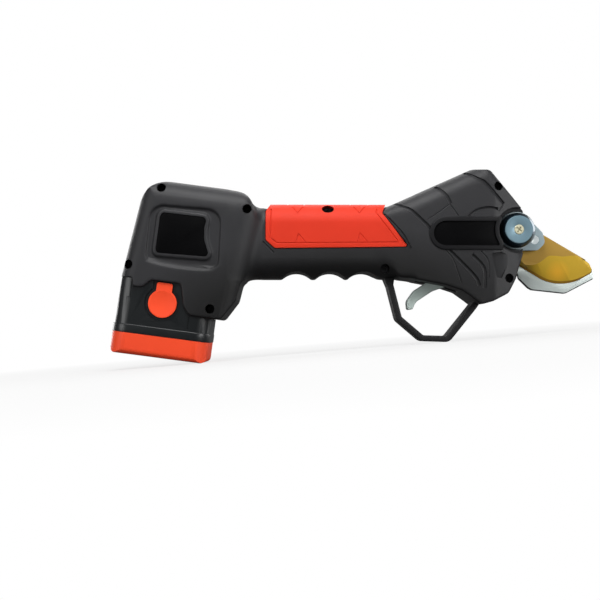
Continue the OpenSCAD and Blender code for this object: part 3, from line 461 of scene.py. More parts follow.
casing = {
    "rearOutline": [(-29.7, 48.1, 0), (-22.3, 113, 20), (43, 113, 12), (56, 90, 0), (56, 62, 0), (46.4, 54.5, 5),
                    (45, 42.5, 4), (37, 29, 3), (17, 29, 4), (12.6, 34.4, 6), (9.3, 48.3, 2.5), (-9.8, 48.1, 2),
                    (-14.7, 43.1, 1.5), (-20.6, 42.9, 0.8), (-21.7, 48.1, 0.8)],
    "rearHalf": 28, "rearTop": 113, "rearBack": -30.1, "rearFront": 50, "rearLean": 6.5, "dock": 44.5,
    "gripHalf": 19.2, "gripTop": 60.4, "gripBottom": 13.4, "gripR": 13,
    "grooves": (40.4, 19.1, -2.9), "grooveR": 12.8, "grooveDeep": 4.4,
    "headHalf": 21.5,
    "headOutline": [(48, 54, 0), (52.6, 58.8, 0), (109.79, 84.26, 6), (122.4, 83.2, 4.5), (143.7, 57.2, 1),
                    (144.5, 44.5, 0), (143.2, 29.7, 2), (138.2, 13.1, 3), (133.2, 3.9, 5), (122.6, -1.4, 4),
                    (115, -3.5, 3), (110, 0.4, 3), (103, 5.4, 6), (92, 9, 10), (70, 13.2, 0), (48, 15, 0)],
    "headSide": [(46, 0, 0), (46, 19.5, 0), (58, 19.5, 6), (70, 21.5, 8), (124, 21.5, 6), (140, 16.5, 8),
                 (150, 16.5, 0), (150, 0, 0)],
    "neckCut": [(-32, 62), (-27.3, 59.8), (-21, 58.4), (-21, 80), (-32, 80)],
    "topSlope": 24, "topFrom": (52.6, 58.8), "topR": 11, "frontFrom": (122.4, 83.2), "frontTo": (143.7, 57.2),
    "frontR": 6, "voxel": 0.6, "soft": 1.6, "blendRear": 45, "blendHead": 18,
}


marks = {
    "grooves": [([(58.8, 63), (64.3, 59.6), (70.1, 56.8), (77.8, 49.8), (84.1, 43.5)], 1.25),
                ([(86.3, 72.5), (92.1, 67.1), (95.6, 61.2)], 1.15),
                ([(95.1, 60.8), (87.7, 55.2), (81.1, 51.0)], 0.5),
                ([(95.1, 60.8), (100.4, 53.3)], 0.45),
                ([(105.1, 82), (112.5, 77.5), (117.5, 74.8), (124.3, 67.2), (129.9, 61.0)], 1.25),
                ([(129.5, 60.8), (126.5, 56.1)], 0.5),
                ([(94.5, 31), (103.1, 22.6), (111.3, 13.7), (113.6, 8.5)], 1.25),
                ([(92.0, 31.5), (96.7, 25.8), (100.1, 16.8), (102.4, 9.8)], 0.5),
                ([(109.1, 28.5), (116.7, 19.5), (117.0, 6.9)], 1.25),
                ([(114.5, 31), (119.4, 24.5), (119.8, 14.2)], 0.5),
                ([(52.9, 54.6), (59.2, 48.2), (65.8, 40.2), (69.8, 32.2)], 1.0),
                ([(-24.7, 36.7), (-17.7, 29.7)], 0.7)],
    "triangle": [(121.5, 29.2, 1.2), (128.2, 30.3, 0.8), (134.6, 27.6, 1.2), (128.6, 13.6, 1.5), (125.0, 13.6, 1.5)],
    "triangleAt": (128, 22), "triangleDeep": 1.3,
    "arcPath": [(107.0, 53.0), (112.0, 56.8), (119.3, 58.6), (126.0, 57.8)], "arcR": 1.1, "arcSink": 0.3,
}
rearLabel = {
    "plate": [(-88.8, 54.6, 3), (-59.6, 51.2, 2.5), (-61.4, 45, 8), (-61.4, 37, 8), (-58.2, 26.3, 2.2),
              (-92.2, 29.0, 2.2)],
    "ridge": 2.3, "hollow": [(-95.2, 59.6, 9), (-50.6, 56, 9), (-52.5, 19, 4), (-98.6, 25.2, 3)], "deep": 1.6,
    "scoop": (-76.6, 22.0, 22.6, 2.8, 7.9), "plateIn": 0.35, "thick": 1.0,
}
headLabel = {
    "left": 84.6, "low": 34.2, "high": 50.0, "right": 126.5, "scoop": 15.4, "rim": 2.7, "rimProud": 0.9,
    "rimDeep": 0.9, "plateIn": 0.1, "thick": 1.0,
}


def headLabelOutline(h):
    mid, radius = (h["low"] + h["high"]) / 2, (h["high"] - h["low"]) / 2
    left = arc((h["left"] + radius, mid), radius, 90, 270, 16)
    right = []
    for i in range(13):                       # hollowed round the pivot
        z = h["low"] + (h["high"] - h["low"]) * i / 12
        reach = pivot[0] - math.sqrt(h["scoop"] ** 2 - (z - pivot[1]) ** 2)
        right.append(Vector((min(h["right"], reach), z)))
    return left + right


headPlate = headLabelOutline(headLabel)
rearPlate = roundCorners(rearLabel["plate"], 6)
rearRim = grow(rearPlate, rearLabel["ridge"])
headRim = grow(headPlate, headLabel["rim"])


def labelHollow():                            # sunk field round the rear plate, with a sloping foot
    c = rearLabel
    field = solid(prism(roundCorners(c["hollow"], 8), -40, c["deep"] - casing["rearHalf"]))
    carve(field, "DIFFERENCE", [solid(prism(rearRim, -50, 0))])
    x, z, half, high, lean = c["scoop"]
    bm = bmesh.new()
    bmesh.ops.create_uvsphere(bm, u_segments=96, v_segments=48, radius=1)
    place = Matrix.Translation((x, -casing["rearHalf"], z)) @ Matrix.Rotation(math.radians(lean), 4, "Y")
    scoop = solid(bm, place @ Matrix.Diagonal((half, c["deep"], high, 1)))
    carve(scoop, "INTERSECT", [solid(block((-90, -40, -20), (90, 40, 0.3)), place)])
    return carve(field, "UNION", [scoop])


def rounded(halfWidth, low, high, radius):    # upright rounded box section
    return roundCorners([(-halfWidth, low, radius), (halfWidth, low, radius), (halfWidth, high, radius),
                         (-halfWidth, high, radius)], 14)


def placedAt(point, turn):                    # place at a side view point, turned about y
    return Matrix.Translation((point[0], 0, point[1])) @ Matrix.Rotation(turn, 4, "Y")


def tunnel(half, radius):                     # section with a rounded top at z 0
    return roundCorners([(-half, -90, 0), (half, -90, 0), (half, 0, radius), (-half, 0, radius)], 8)


def makeForm(c):
    rear = solid(prism(roundCorners(c["rearOutline"], 8), -through, through), packPlace)
    plan = roundCorners([(c["rearBack"], -c["rearHalf"], 10), (c["rearFront"], -c["rearHalf"], 17),
                         (c["rearFront"], c["rearHalf"], 17), (c["rearBack"], c["rearHalf"], 10)], 8)
    section = roundCorners([(-c["rearHalf"], 0, 0), (c["rearHalf"], 0, 0), (c["rearHalf"], c["rearTop"], 13),
                            (-c["rearHalf"], c["rearTop"], 13)], 8)
    lean = Matrix.Translation((0, 0, c["dock"])) @ Matrix.Rotation(math.radians(c["rearLean"]), 4, "Y")
    carve(rear, "INTERSECT", [solid(prism(plan, -60, 130, "z"), packPlace @ lean),
                              solid(prism(section, -60, 80, "x"), packPlace)])
    grip = solid(prism(rounded(c["gripHalf"], c["gripBottom"], c["gripTop"], c["gripR"]), -45, 70, "x"))
    low = c["gripBottom"] + c["grooveDeep"] - c["grooveR"]
    carve(grip, "DIFFERENCE", [solid(bar((x, low), -40, 40, c["grooveR"], 64)) for x in c["grooves"]])
    head = solid(prism(roundCorners(c["headOutline"], 8), -40, 40))
    side = roundCorners(c["headSide"], 8)
    side = side[1:-1] + [Vector((p.x, -p.y)) for p in reversed(side[1:-1])]
    slope = math.atan2(c["frontFrom"][1] - c["frontTo"][1], c["frontTo"][0] - c["frontFrom"][0])
    top = placedAt(c["topFrom"], -math.radians(c["topSlope"]))
    front = placedAt(c["frontFrom"], slope)
    carve(head, "INTERSECT", [solid(prism(side, -20, 110, "z")),
                              solid(prism(tunnel(c["headHalf"], c["topR"]), -60, 160, "x"), top),
                              solid(prism(tunnel(c["headHalf"], c["frontR"]), -160, 120, "x"), front)])
    carve(rear, "UNION", [grip, head])
    carve(rear, "DIFFERENCE", bothSides(labelHollow()) + [solid(prism(c["neckCut"], -through, through))])
    remesh(rear, c["voxel"])
    area = c["voxel"] ** 2
    soften(rear, round(c["soft"] / area))
    soften(rear, round(c["blendRear"] / area), lambda p: -47 < p.x < -25 and p.z > 12)
    soften(rear, round(c["blendHead"] / area), lambda p: 48 < p.x < 74 and p.z > 8)
    return rear


form = makeForm(casing)
print("casing form:", len(form.data.polygons), "faces")


def skinOf(obj):
    return BVHTree.FromObject(obj, bpy.context.evaluated_depsgraph_get())


def skinAt(skin, x, z, fallback=-20.0):       # near surface at a side view point
    hit = skin.ray_cast(Vector((x, -80, z)), Vector((0, 1, 0)))[0]
    return hit.y if hit is not None else fallback


def alongPath(points, step=1.2):
    placed = []
    for a, b in zip(points, points[1:]):
        a, b = Vector(a[:2]), Vector(b[:2])
        count = max(1, round((b - a).length / step))
        placed += [a.lerp(b, i / count) for i in range(count)]
    return placed + [Vector(points[-1][:2])]


def tube(skin, points, radius, sink=0.0):     # round cutter that follows the near surface
    curve = bpy.data.curves.new("line", "CURVE")
    curve.dimensions, curve.use_fill_caps = "3D", True
    curve.bevel_depth, curve.bevel_resolution = radius, 2
    path = alongPath(points)
    spline = curve.splines.new("POLY")
    spline.points.add(len(path) - 1)
    for point, p in zip(spline.points, path):
        point.co = (p.x, skinAt(skin, p.x, p.y) + sink, p.y, 1)
    holder = bpy.data.objects.new("line", curve)
    scene.collection.objects.link(holder)
    mesh = bpy.data.meshes.new_from_object(holder.evaluated_get(bpy.context.evaluated_depsgraph_get()))
    bm = bmesh.new()
    bm.from_mesh(mesh)
    bmesh.ops.remove_doubles(bm, verts=bm.verts, dist=1e-3)
    bmesh.ops.recalc_face_normals(bm, faces=bm.faces)
    bpy.data.objects.remove(holder)
    bpy.data.curves.remove(curve)
    bpy.data.meshes.remove(mesh)
    return solid(bm)


def addMarks(target):
    m, skin, cutters = marks, skinOf(target), []
    for path, radius in m["grooves"]:
        cutters += bothSides(tube(skin, smoothPath(path), radius))
    cutters += bothSides(tube(skin, smoothPath(m["arcPath"]), m["arcR"], m["arcSink"]))
    deep = skinAt(skin, *m["triangleAt"]) + m["triangleDeep"]
    cutters += bothSides(solid(prism(roundCorners(m["triangle"], 5), -40, deep)))
    carve(target, "DIFFERENCE", cutters)


addMarks(form)
print("casing marks cut:", len(form.data.polygons), "faces")


# Room inside the casing

drive = {"motorBack": -80.25, "motorFront": -51.75, "coverFront": -31.55, "motorR": 16.1, "gearR": 16.13,
         "nutClear": 6.2, "screwTip": 0.5, "nutOpen": -20.8, "nutShut": -3.5, "slotHalf": 1.85}
blades = {"out": 4.15, "heel": 8.1, "notch": 13.5, "carrierOut": -9.2, "carrierIn": -4.5, "swing": 42, "lever": 14,
          "slope": 18, "travel": 17.3, "armHalf": 4.05, "bolt": 4, "nutIn": 9.15, "nutR": 9.2,
          "room": [(131, 44), (139, 54), (175, 62), (175, 2), (142, 10), (134, 34)]}
screws = {"casing": [(-88.8, 70.4), (-34.5, 56.9), (17, 57), (126.6, 72.6), (-57.68, -6.55), (-109.5, 21.8)],
          "guard": (53.8, 19.6), "hook": [(133.5, 13.5), (128.5, 24)], "head": 2.8, "headClear": 0.15, "shank": 1.5,
          "bore": 0.1, "post": 0.9, "headHigh": 2.5, "socketR": 1.5, "long": 24.8,
          "guardTop": -13.4, "guardSeat": -10.8, "guardEnd": 12, "hookTop": -13.0, "hookSeat": -10.4,
          "hookSkin": -13.2, "hookEnd": 13}
hollows = {"dock": ((-16, -20, 81), (40, 20, 104)), "switch": ((77.9, -4.1, 14), (87.6, 4.1, 21.5)),
           "wires": [(-14.1, 20.9, 5), (14.1, 20.9, 5), (14.1, 56.4, 8), (-14.1, 56.4, 8)],
           "trigger": [(75, 0, 0), (75, 13, 0), (79, 17, 0), (91, 20, 0), (102, 19, 4), (103, 4, 0), (92, -2, 0)]}
stem = {"u": 1.5, "half": 22.5, "r": 5, "top": 82}
hookLine = [(148.5, 30, 6), (153, 21.5, 5), (170, 14.5, 14), (184, 16, 8), (193.4, 20.9, 0.8), (193.3, 14, 1.5),
            (174.5, 4.2, 4), (152.2, 6.6, 4), (149.7, 8.1, 2), (143.8, 14, 1.5), (143, 17.6, 1.5), (137, 17, 1),
            (137, 9.6, 2), (129, 9, 3), (124, 20, 4), (124, 28, 4)]
goldLine = [(160, 42.2, 4), (190.4, 24.3, 5), (193.1, 18.6, 2.5), (180, 11.2, 28), (163.5, 10.6, 28),
            (143.8, 22.6, 1.5)]
guard = {"path": [(58.3, 9), (63.7, -12.3), (78.7, -25.1), (95.5, -25.6), (112.5, -4.5)], "end": (116.5, 1.5),
         "flare": [(53.4, 19.5), (61.9, 19.0), (60.7, 13.8), (60.1, 9.8), (56.4, 10.4), (55.3, 14.2)],
         "seams": [[(55.6, 10.3), (60.9, 9.3)], [(110.6, -2.6), (114.8, -5.9)]], "seamHalf": 0.22, "seamIn": -7.8,
         "half": 8.5, "thick": 2, "eyeR": 3.6, "bendR": 4, "bevel": 0.7}
trigger = {"pivot": (96.4, 13.2), "half": 4.5, "hub": 4.4, "pin": 1.5, "springIn": 1.9, "springClear": 0.5,
           "outline": [(98, 10, 0), (94, 17.2, 0), (86, 13.6, 6), (74, 6, 8), (69, -1, 5), (69.6, -6.6, 1.2),
                       (73, -6.2, 1.2), (75.2, -1.5, 6), (86, 5.6, 12), (95, 8.6, 0)]}
button = {"u": -0.8, "v": 34.5, "r": 9, "tabW": 10, "tabH": 13, "tabR": 1.5, "depth": 2.4, "pocket": 5.3,
          "rim": 1.1, "dishR": 40, "dishDeep": 0.85}
pack = {"half": (31, 26), "cornerR": 10, "capH": 13.5, "bandH": 5.5, "flare": 0.3, "top": 50, "lift": 0.7,
        "taper": 2.4, "wall": 3, "floor": 3, "footR": 4, "recess": (2.4, 1.1), "dockGap": 0.12,
        "contacts": (-10, 0, 10), "contactHalf": (1.3, 3.3), "clipDeep": 0.5,
        "clips": [(-21.8, -21.2, 36, 50), (-40, -21.2, 35.7, 36.3), (16.7, 17.2, 20, 30), (26.3, 26.8, 20, 30)]}
pivotCap = {"r": 12.2, "body": 11.3, "face": 8.8, "flange": 4.9, "high": 7.6, "inY": -9.55, "boltR": 4.1,
            "seat": -13.6, "seatR": 14.9, "screwR": 3.1, "shank": 2, "screwHigh": 2.5, "screwLong": 7.8,
            "slotHalf": (2.1, 0.42), "slotDeep": 1.1, "slotTurn": 0.6}


def withArc(centre, radius, start, end, corners):
    points = [(p.x, p.y, 0) for p in arc(centre, radius, start, end)] + list(corners)
    return roundCorners(points)


def screwSeat(p):                             # how far out a casing screw's head sits
    return -14.0 if p[0] < -45 else -10.0 if p[0] < 60 else -12.5


def bend(points, radius):                     # open path with its inner corners rounded
    return roundCorners([(x, z, radius if 0 < i < len(points) - 1 else 0) for i, (x, z) in enumerate(points)], 6)


def guardOutline(extra=0.0):
    eye, half, eyeR, first = screws["guard"], guard["thick"] + extra, guard["eyeR"] + extra, guard["path"][0]
    leg = math.degrees(math.atan2(first[1] - eye[1], first[0] - eye[0]))
    mouth = math.degrees(math.asin(half / eyeR))
    reach = eyeR * math.cos(math.radians(mouth))
    root = (eye[0] + reach * math.cos(math.radians(leg)), eye[1] + reach * math.sin(math.radians(leg)))
    line = bend([root] + guard["path"] + [guard["end"]], guard["bendR"])
    return strip(line, half) + arc(eye, eyeR, leg - mouth, leg + mouth - 360)[1:-1]


def slotPath():                               # the nut's path as the turning carrier sees it
    lean = math.radians(blades["slope"])
    up, way = Vector((-math.sin(lean), math.cos(lean))), Vector((math.cos(lean), math.sin(lean)))
    path = []
    for i in range(15):
        s = drive["nutShut"] - blades["travel"] * i / 14
        p = up * blades["lever"] + way * s
        a = -math.radians(blades["swing"] * (drive["nutShut"] - s) / blades["travel"])
        path.append(Vector((pivot[0] + p.x * math.cos(a) - p.y * math.sin(a),
                            pivot[1] + p.x * math.sin(a) + p.y * math.cos(a))))
    return path


def armShapes(low, high, extra=0.0, turn=0.0):
    slot, half = slotPath(), blades["armHalf"] + extra
    place = placedAt(pivot, -math.radians(turn)) @ Matrix.Translation((-pivot[0], 0, -pivot[1]))
    return [solid(prism(strip([pivot, slot[14]], half), low, high), place),
            solid(bar(slot[14], low, high, half), place),
            solid(prism(strip([slot[0], slot[7], slot[14]], half), low, high), place)]


def stemBlock(extra, low, high):
    half, r = stem["half"] + extra, stem["r"] + extra
    u = stem["u"]
    plan = roundCorners([(u - half, -half, r), (u + half, -half, r), (u + half, half, r), (u - half, half, r)])
    return solid(prism(plan, low, high, "z"), packPlace)


def buttonShapes(extra, low, high):
    b = button
    u0, u1, top = b["u"] - b["tabW"] / 2 - extra, b["u"] + b["tabW"] / 2 + extra, b["v"] + b["tabH"] + extra
    tab = roundCorners([(u0, b["v"], 0), (u1, b["v"], 0), (u1, top, b["tabR"]), (u0, top, b["tabR"])])
    disc = solid(bar((b["u"], b["v"]), low, high, b["r"] + extra, 64), packPlace)
    return carve(disc, "UNION", [solid(prism(tab, low, high), packPlace)])


def hollowShapes():
    d, h, k, slot = drive, hollows, drive["nutClear"], drive["slotHalf"]
    shapes = [stemBlock(gap, 19, stem["top"] + gap), solid(block(*h["dock"]), packPlace),
              solid(prism(roundCorners(h["wires"]), -60, 62, "x")),
              solid(drum(d["motorBack"], d["motorFront"] + 0.01, d["motorR"]), drivePlace),
              solid(drum(d["motorFront"], d["coverFront"], d["gearR"]), drivePlace),
              solid(block((-k, -k, d["coverFront"] - 1), (k, k, d["screwTip"] + 1)), drivePlace),
              solid(block((-slot, 0, d["nutOpen"] - slot - 1), (slot, k + 3, d["nutShut"] + slot + 1)), drivePlace)]
    side = trigger["half"] + gap
    shapes.append(solid(prism(roundCorners(h["trigger"]), -side, side)))
    shapes.append(solid(block(*h["switch"])))
    return shapes


def roomShapes():
    b, c = blades, pivotCap
    low = b["carrierOut"] - gap
    shapes = armShapes(low, 0, gap) + armShapes(low, 0, gap, b["swing"])
    tip = slotPath()[14] - Vector(pivot)
    reach, lead = tip.length + b["armHalf"] + gap, math.degrees(math.atan2(tip.y, tip.x))
    shapes.append(solid(prism([Vector(pivot)] + arc(pivot, reach, lead, lead + b["swing"], 10), low, 0)))
    shapes.append(solid(bar(pivot, low, b["carrierIn"] + gap, b["notch"], 72)))
    shapes.append(solid(bar(pivot, -through, low + 0.01, c["r"] + gap, 72)))
    shapes.append(solid(bar(pivot, -through, c["seat"], c["seatR"], 96)))
    shapes.append(solid(bar(pivot, -b["out"] - gap, b["out"], b["heel"] + gap, 64)))
    shapes.append(solid(prism(b["room"], -b["out"] - gap, 0.01)))
    hook = grow(withArc(pivot, b["heel"], 190, -20, hookLine), 0.1)
    shapes.append(solid(prism(hook, 0, b["out"] + 0.1)))
    shapes.append(solid(bar(pivot, -1, through, b["bolt"] + 0.1)))
    shapes.append(solid(bar(pivot, b["nutIn"], through, b["nutR"], 64)))
    return shapes


def screwHoles(at, out, seat, start, end):    # a wide hole for the head and a bore for the shank
    s = screws
    return [solid(bar(at, out, seat, s["head"] + s["headClear"])),
            solid(bar(at, start, end, s["shank"] + s["bore"], 24))]


def holeShapes():
    s, g, t, shapes = screws, guard, trigger, []
    for p in s["casing"]:
        shapes += screwHoles(p, -through, screwSeat(p) + 3, -through, 10)
    shapes += screwHoles(s["guard"], -through, s["guardSeat"], -through, s["guardEnd"])
    for p, out in zip(s["hook"], (-through, s["hookSkin"])):   # the second head lies under the skin
        shapes += screwHoles(p, out, s["hookSeat"], s["hookSkin"], s["hookEnd"])
    shapes.append(solid(bar(t["pivot"], -10, 10, t["pin"] + 0.025, 32)))
    side = g["half"] + 0.1
    shapes += [solid(prism(guardOutline(0.1), -side, side)), solid(prism(grow(g["flare"], 0.1), -side, side))]
    shapes.append(buttonShapes(3 * gap, -through, through))
    return shapes


grips = {
    "outline": [(-19.8, 70, 0), (-19.8, 61.6, 1), (-22.8, 56.6, 1), (-22.8, 38, 2), (-17, 32.7, 3), (68.4, 33.6, 0.9),
                (51.9, 55.4, 1.5), (58.6, 70, 0)],
    "half": 19.7, "top": 62.0, "r": 13.2, "thick": 2.4, "crack": 0.5,
    "hole": (17.2, 58.1), "holeSize": (3.9, 2.6), "holeIn": -8,
    "line": [(-19.4, 58), (-19.8, 39.2), (-15.6, 35.8), (62.4, 36.4), (48.0, 55.4), (48.8, 58)], "lineR": 0.5,
    "notches": (-20.5, -8.6, 2, 32, 43.6), "notchW": 0.9, "notchDeep": 0.7,
    "pointsTop": [(-2.4, 55.2), (37.4, 55.2)], "pointTop": [(-3.6, 4.6), (0, 0), (3.6, 4.6)],
    "pointsLow": [(-1.9, 41.8), (37.5, 42.4)], "pointLow": [(-1.6, -5.4), (0, 0), (4.6, -5.4)], "pointR": 0.4,
}


def gripSection(inset):
    g = grips
    return rounded(g["half"] - inset, casing["gripBottom"] + inset, g["top"] - inset, g["r"] - inset)


def gripHole():                               # oval mouth of the screw hole on the rounding
    (x, z), (wide, high) = grips["hole"], grips["holeSize"]
    oval = [(x + wide * p.x, z + high * p.y) for p in arc((0, 0), 1, 0, 351, 39)]
    return solid(prism(oval, -through, grips["holeIn"]))


def pocketShape():
    outer = solid(prism(grow(roundCorners(grips["outline"]), grips["crack"]), -40, 40))
    return carve(outer, "DIFFERENCE", [solid(prism(gripSection(grips["thick"] + 0.05), -60, 90, "x"))])


def labelPockets():
    c, r, h = casing, rearLabel, headLabel
    rear = solid(prism(grow(rearPlate, 0.1), -through, -c["rearHalf"] + r["plateIn"] + r["thick"]))
    head = solid(prism(grow(headPlate, 0.1), -through, -c["headHalf"] + h["plateIn"] + h["thick"]))
    rim = solid(prism(grow(headRim, 0.05), -through, -c["headHalf"] + h["rimDeep"]))
    return bothSides(rear) + bothSides(head) + bothSides(rim)


def makeShells():
    posts = [solid(bar(p, -30, 30, screws["head"] + screws["post"])) for p in screws["casing"]]
    posts = carve(posts[0], "UNION", posts[1:])
    carve(posts, "INTERSECT", [copyOf(form)])
    carve(form, "DIFFERENCE", hollowShapes())
    carve(form, "UNION", [posts])
    carve(form, "DIFFERENCE", holeShapes() + [pocketShape(), gripHole()] + labelPockets() + roomShapes())
    left = copyOf(form)
    carve(form, "INTERSECT", [solid(block((-300, -300, -300), (300, 0, 300)))])
    carve(left, "INTERSECT", [solid(block((-300, 0.02, -300), (300, 300, 300)))])
    for shell, name, node in ((form, "shellRight", "right_shell"), (left, "shellLeft", "left_shell")):
        finishPiece(shell, name, "casing", [charcoal], [node], 38)
        print(name, len(shell.data.polygons), "faces")


makeShells()


# Grip inlays

def makeGrips():
    g = grips
    inlay = solid(prism(gripSection(0), -45, 75, "x"))
    carve(inlay, "DIFFERENCE", [solid(prism(gripSection(g["thick"]), -60, 90, "x"))])
    carve(inlay, "INTERSECT", [solid(prism(roundCorners(g["outline"]), -40, -0.05))])
    easeEdges(inlay, 0.5, 50, 3)
    skin = skinOf(inlay)
    cutters = [tube(skin, g["line"], g["lineR"])]
    for spots, shape in (("pointsTop", "pointTop"), ("pointsLow", "pointLow")):
        for x, z in g[spots]:
            cutters.append(tube(skin, [(x + a, z + b) for a, b in g[shape]], g["pointR"]))
    for x in g["notches"]:
        half = g["notchW"] / 2
        cutters.append(solid(block((x - half, -40, g["top"] - g["notchDeep"]), (x + half, 5, g["top"] + 5))))
    cutters.append(gripHole())
    carve(inlay, "DIFFERENCE", cutters)
    far = mirrored(inlay)
    finishPiece(inlay, "gripRight", "casing", [rubber], ["grip_right"], 40)
    finishPiece(far, "gripLeft", "casing", [rubber], ["grip_left"], 40)


makeGrips()


# Label plates

def platePair(outline, y, thick, bevel=0.2):
    plate = solid(prism(outline, y, y + thick, bevel=bevel))
    return carve(plate, "UNION", [mirrored(plate)])


def makeLabels():
    c, r, h = casing, rearLabel, headLabel
    rear = platePair(rearPlate, -c["rearHalf"] + r["plateIn"], r["thick"])
    finishPiece(rear, "labelRear", "casing", [plateBlack], ["rear_labels"])
    head = platePair(headPlate, -c["headHalf"] + h["plateIn"], h["thick"])
    finishPiece(head, "labelHead", "casing", [plateBlack], ["head_labels"])
    # the rim wears a darker copy of the charcoal, which is painted shade
    rim = solid(prism(headRim, -c["headHalf"] - h["rimProud"], -c["headHalf"] + h["rimDeep"], bevel=0.6))
    carve(rim, "DIFFERENCE", [solid(prism(grow(headPlate, 0.02), -through, 0))])
    carve(rim, "UNION", [mirrored(rim)])
    finishPiece(rim, "rimHead", "casing", [rimShadedCharcoal], [])


makeLabels()


# Screws with hexagon sockets

def screwShape(at, headY, length):
    h, s, high, end = screws["head"], screws["shank"], headY + screws["headHigh"], headY + length
    screw = solid(turned([(0, headY), (h - 0.35, headY), (h, headY + 0.35), (h, high), (s, high), (s, end - 0.4),
                          (s - 0.4, end), (0, end)], at, 40))
    return carve(screw, "DIFFERENCE", [solid(bar(at, headY - 1, headY + 1.5, screws["socketR"], 6))])


def makeScrews():
    s = screws
    groups = {"screwsHousing": ("housing_screws", [(p, screwSeat(p) + 0.4, 9.3 - screwSeat(p)) for p in s["casing"]]),
              "screwGuard": ("guard_screw", [(s["guard"], s["guardTop"], s["long"])]),
              "screwsHook": ("hook_screws", [(p, s["hookTop"], s["long"]) for p in s["hook"]])}
    for name, (node, places) in groups.items():
        shapes = [screwShape(*place) for place in places]
        if len(shapes) > 1:
            carve(shapes[0], "UNION", shapes[1:])
        finishPiece(shapes[0], name, "casing", [screwBlack], [node])


makeScrews()
print("inlays, plates and screws made")


# Guard and trigger

def makeGuard():
    g, s = guard, screws
    strap = solid(prism(guardOutline(), -g["half"], g["half"], bevel=g["bevel"]))
    carve(strap, "UNION", [solid(prism(g["flare"], -g["half"], g["half"]))])
    cuts = [solid(bar(s["guard"], -20, 20, s["shank"] + s["bore"], 24))]
    for seam in g["seams"]:
        cuts += bothSides(solid(prism(strip(seam, g["seamHalf"]), -12, g["seamIn"])))
    carve(strap, "DIFFERENCE", cuts)
    finishPiece(strap, "guardStrap", "casing", [guardPlastic], ["trigger_guard"])


def makeTrigger():
    t = trigger
    finger = solid(prism(roundCorners(t["outline"], 8), -t["half"], t["half"], bevel=0.8))
    hub = solid(bar(t["pivot"], -t["half"], t["half"], t["hub"], 48))
    carve(finger, "UNION", [hub])
    carve(finger, "DIFFERENCE", [solid(bar(t["pivot"], -20, 20, t["pin"] + 0.05, 32)),
                                 solid(bar(t["pivot"], t["springIn"], 20, t["hub"] + t["springClear"], 48))])
    finishPiece(finger, "triggerFinger", "finger_trigger", [triggerMetal], ["trigger"])


makeGuard()
makeTrigger()


# Blades

goldEdgeLine = {
    "grind": [(146.8, 23.0), (151.2, 22.8), (155.2, 23.8), (158.8, 26.0), (162.6, 28.8), (167, 28.9), (172, 28.5),
              (177, 29.0), (181, 28.9), (184, 27.5)],
    "meets": (187, 26.3), "band": 1.6, "bandUp": 0.9, "far": -0.15, "steps": 60,
}


def spread(points, count):                    # points evenly along a path
    points = [Vector(p[:2]) for p in points]
    lengths = [0.0]
    for a, b in zip(points, points[1:]):
        lengths.append(lengths[-1] + (b - a).length)
    placed, k = [], 0
    for i in range(count):
        want = lengths[-1] * i / (count - 1)
        while k < len(points) - 2 and lengths[k + 1] < want:
            k += 1
        span = max(1e-9, lengths[k + 1] - lengths[k])
        placed.append(points[k].lerp(points[k + 1], (want - lengths[k]) / span))
    return placed


def makeGold():
    b, g, far, steps = blades, goldEdgeLine, goldEdgeLine["far"], goldEdgeLine["steps"]
    heel, meets = withArc(pivot, b["heel"], 240, 70, goldLine)[:15], g["meets"]
    spine = roundCorners([(*heel[-1], 0), goldLine[0], (*meets, 0)], 8)[1:]
    edge = roundCorners([(*meets, 0)] + goldLine[1:] + [(*heel[0], 0)], 12)[1:]
    edge = spread([spine[-1]] + edge, steps)[1:-1]
    grind = spread([spine[-1]] + smoothPath(g["grind"])[::-1] + [edge[-1]], steps)[1:-1]
    lowLoop, bandLoop, topLoop = heel + spine + edge, heel + spine, heel + spine + grind
    inner = grow(lowLoop, -g["band"])[len(bandLoop):]
    for k, (outer, within) in enumerate(zip(edge, inner)):   # the band narrows to both ends
        bandLoop.append(outer.lerp(within, min(1, 3 * k / steps, 3 * (steps - 2 - k) / steps)))
    bm = bmesh.new()
    rings = []
    for loop, y in ((lowLoop, far), (bandLoop, far - g["bandUp"]), (topLoop, -b["out"])):
        rings.append([bm.verts.new((p.x, y, p.y)) for p in loop])
    loops = [[bm.edges.new((ring[i - 1], ring[i])) for i in range(len(ring))] for ring in rings]
    skirt = bmesh.ops.bridge_loops(bm, edges=loops[0] + loops[1])["faces"]
    grindFaces = bmesh.ops.bridge_loops(bm, edges=loops[1] + loops[2])["faces"]
    caps = [bm.faces.new(rings[0]), bm.faces.new(rings[2])]
    bmesh.ops.recalc_face_normals(bm, faces=bm.faces)
    for faces, finish in ((skirt, 2), (grindFaces, 1)):
        for f in faces:
            f.material_index = finish if abs(f.normal.y) > 0.2 else 0
    bmesh.ops.triangulate(bm, faces=caps)
    blade = solid(bm)
    wear(blade, [goldFlat, goldGround, goldEdge])
    carve(blade, "DIFFERENCE", [solid(bar(pivot, -20, 20, b["bolt"] + 0.05, 64)),
                                solid(bar(drivePin, -20, 20, carrier["pinR"], 48))])
    finishPiece(blade, "bladeGold", "blade", [], ["cutting_blade"], 20)


def makeHook():
    b = blades
    blade = solid(prism(withArc(pivot, b["heel"], 190, -20, hookLine), 0.15, b["out"], bevel=0.6, segments=2))
    wear(blade, [hookFlat, hookGround])
    for face in blade.data.polygons:
        face.material_index = 1 if face.normal.z < -0.25 and face.normal.y > -0.95 else 0
    holes = [solid(bar(pivot, -20, 20, b["bolt"] + 0.1, 64))]
    holes += [solid(bar(p, -20, 20, screws["shank"] + screws["bore"], 24)) for p in screws["hook"]]
    carve(blade, "DIFFERENCE", holes)
    finishPiece(blade, "bladeHook", "casing", [], ["hook_blade"], 25)


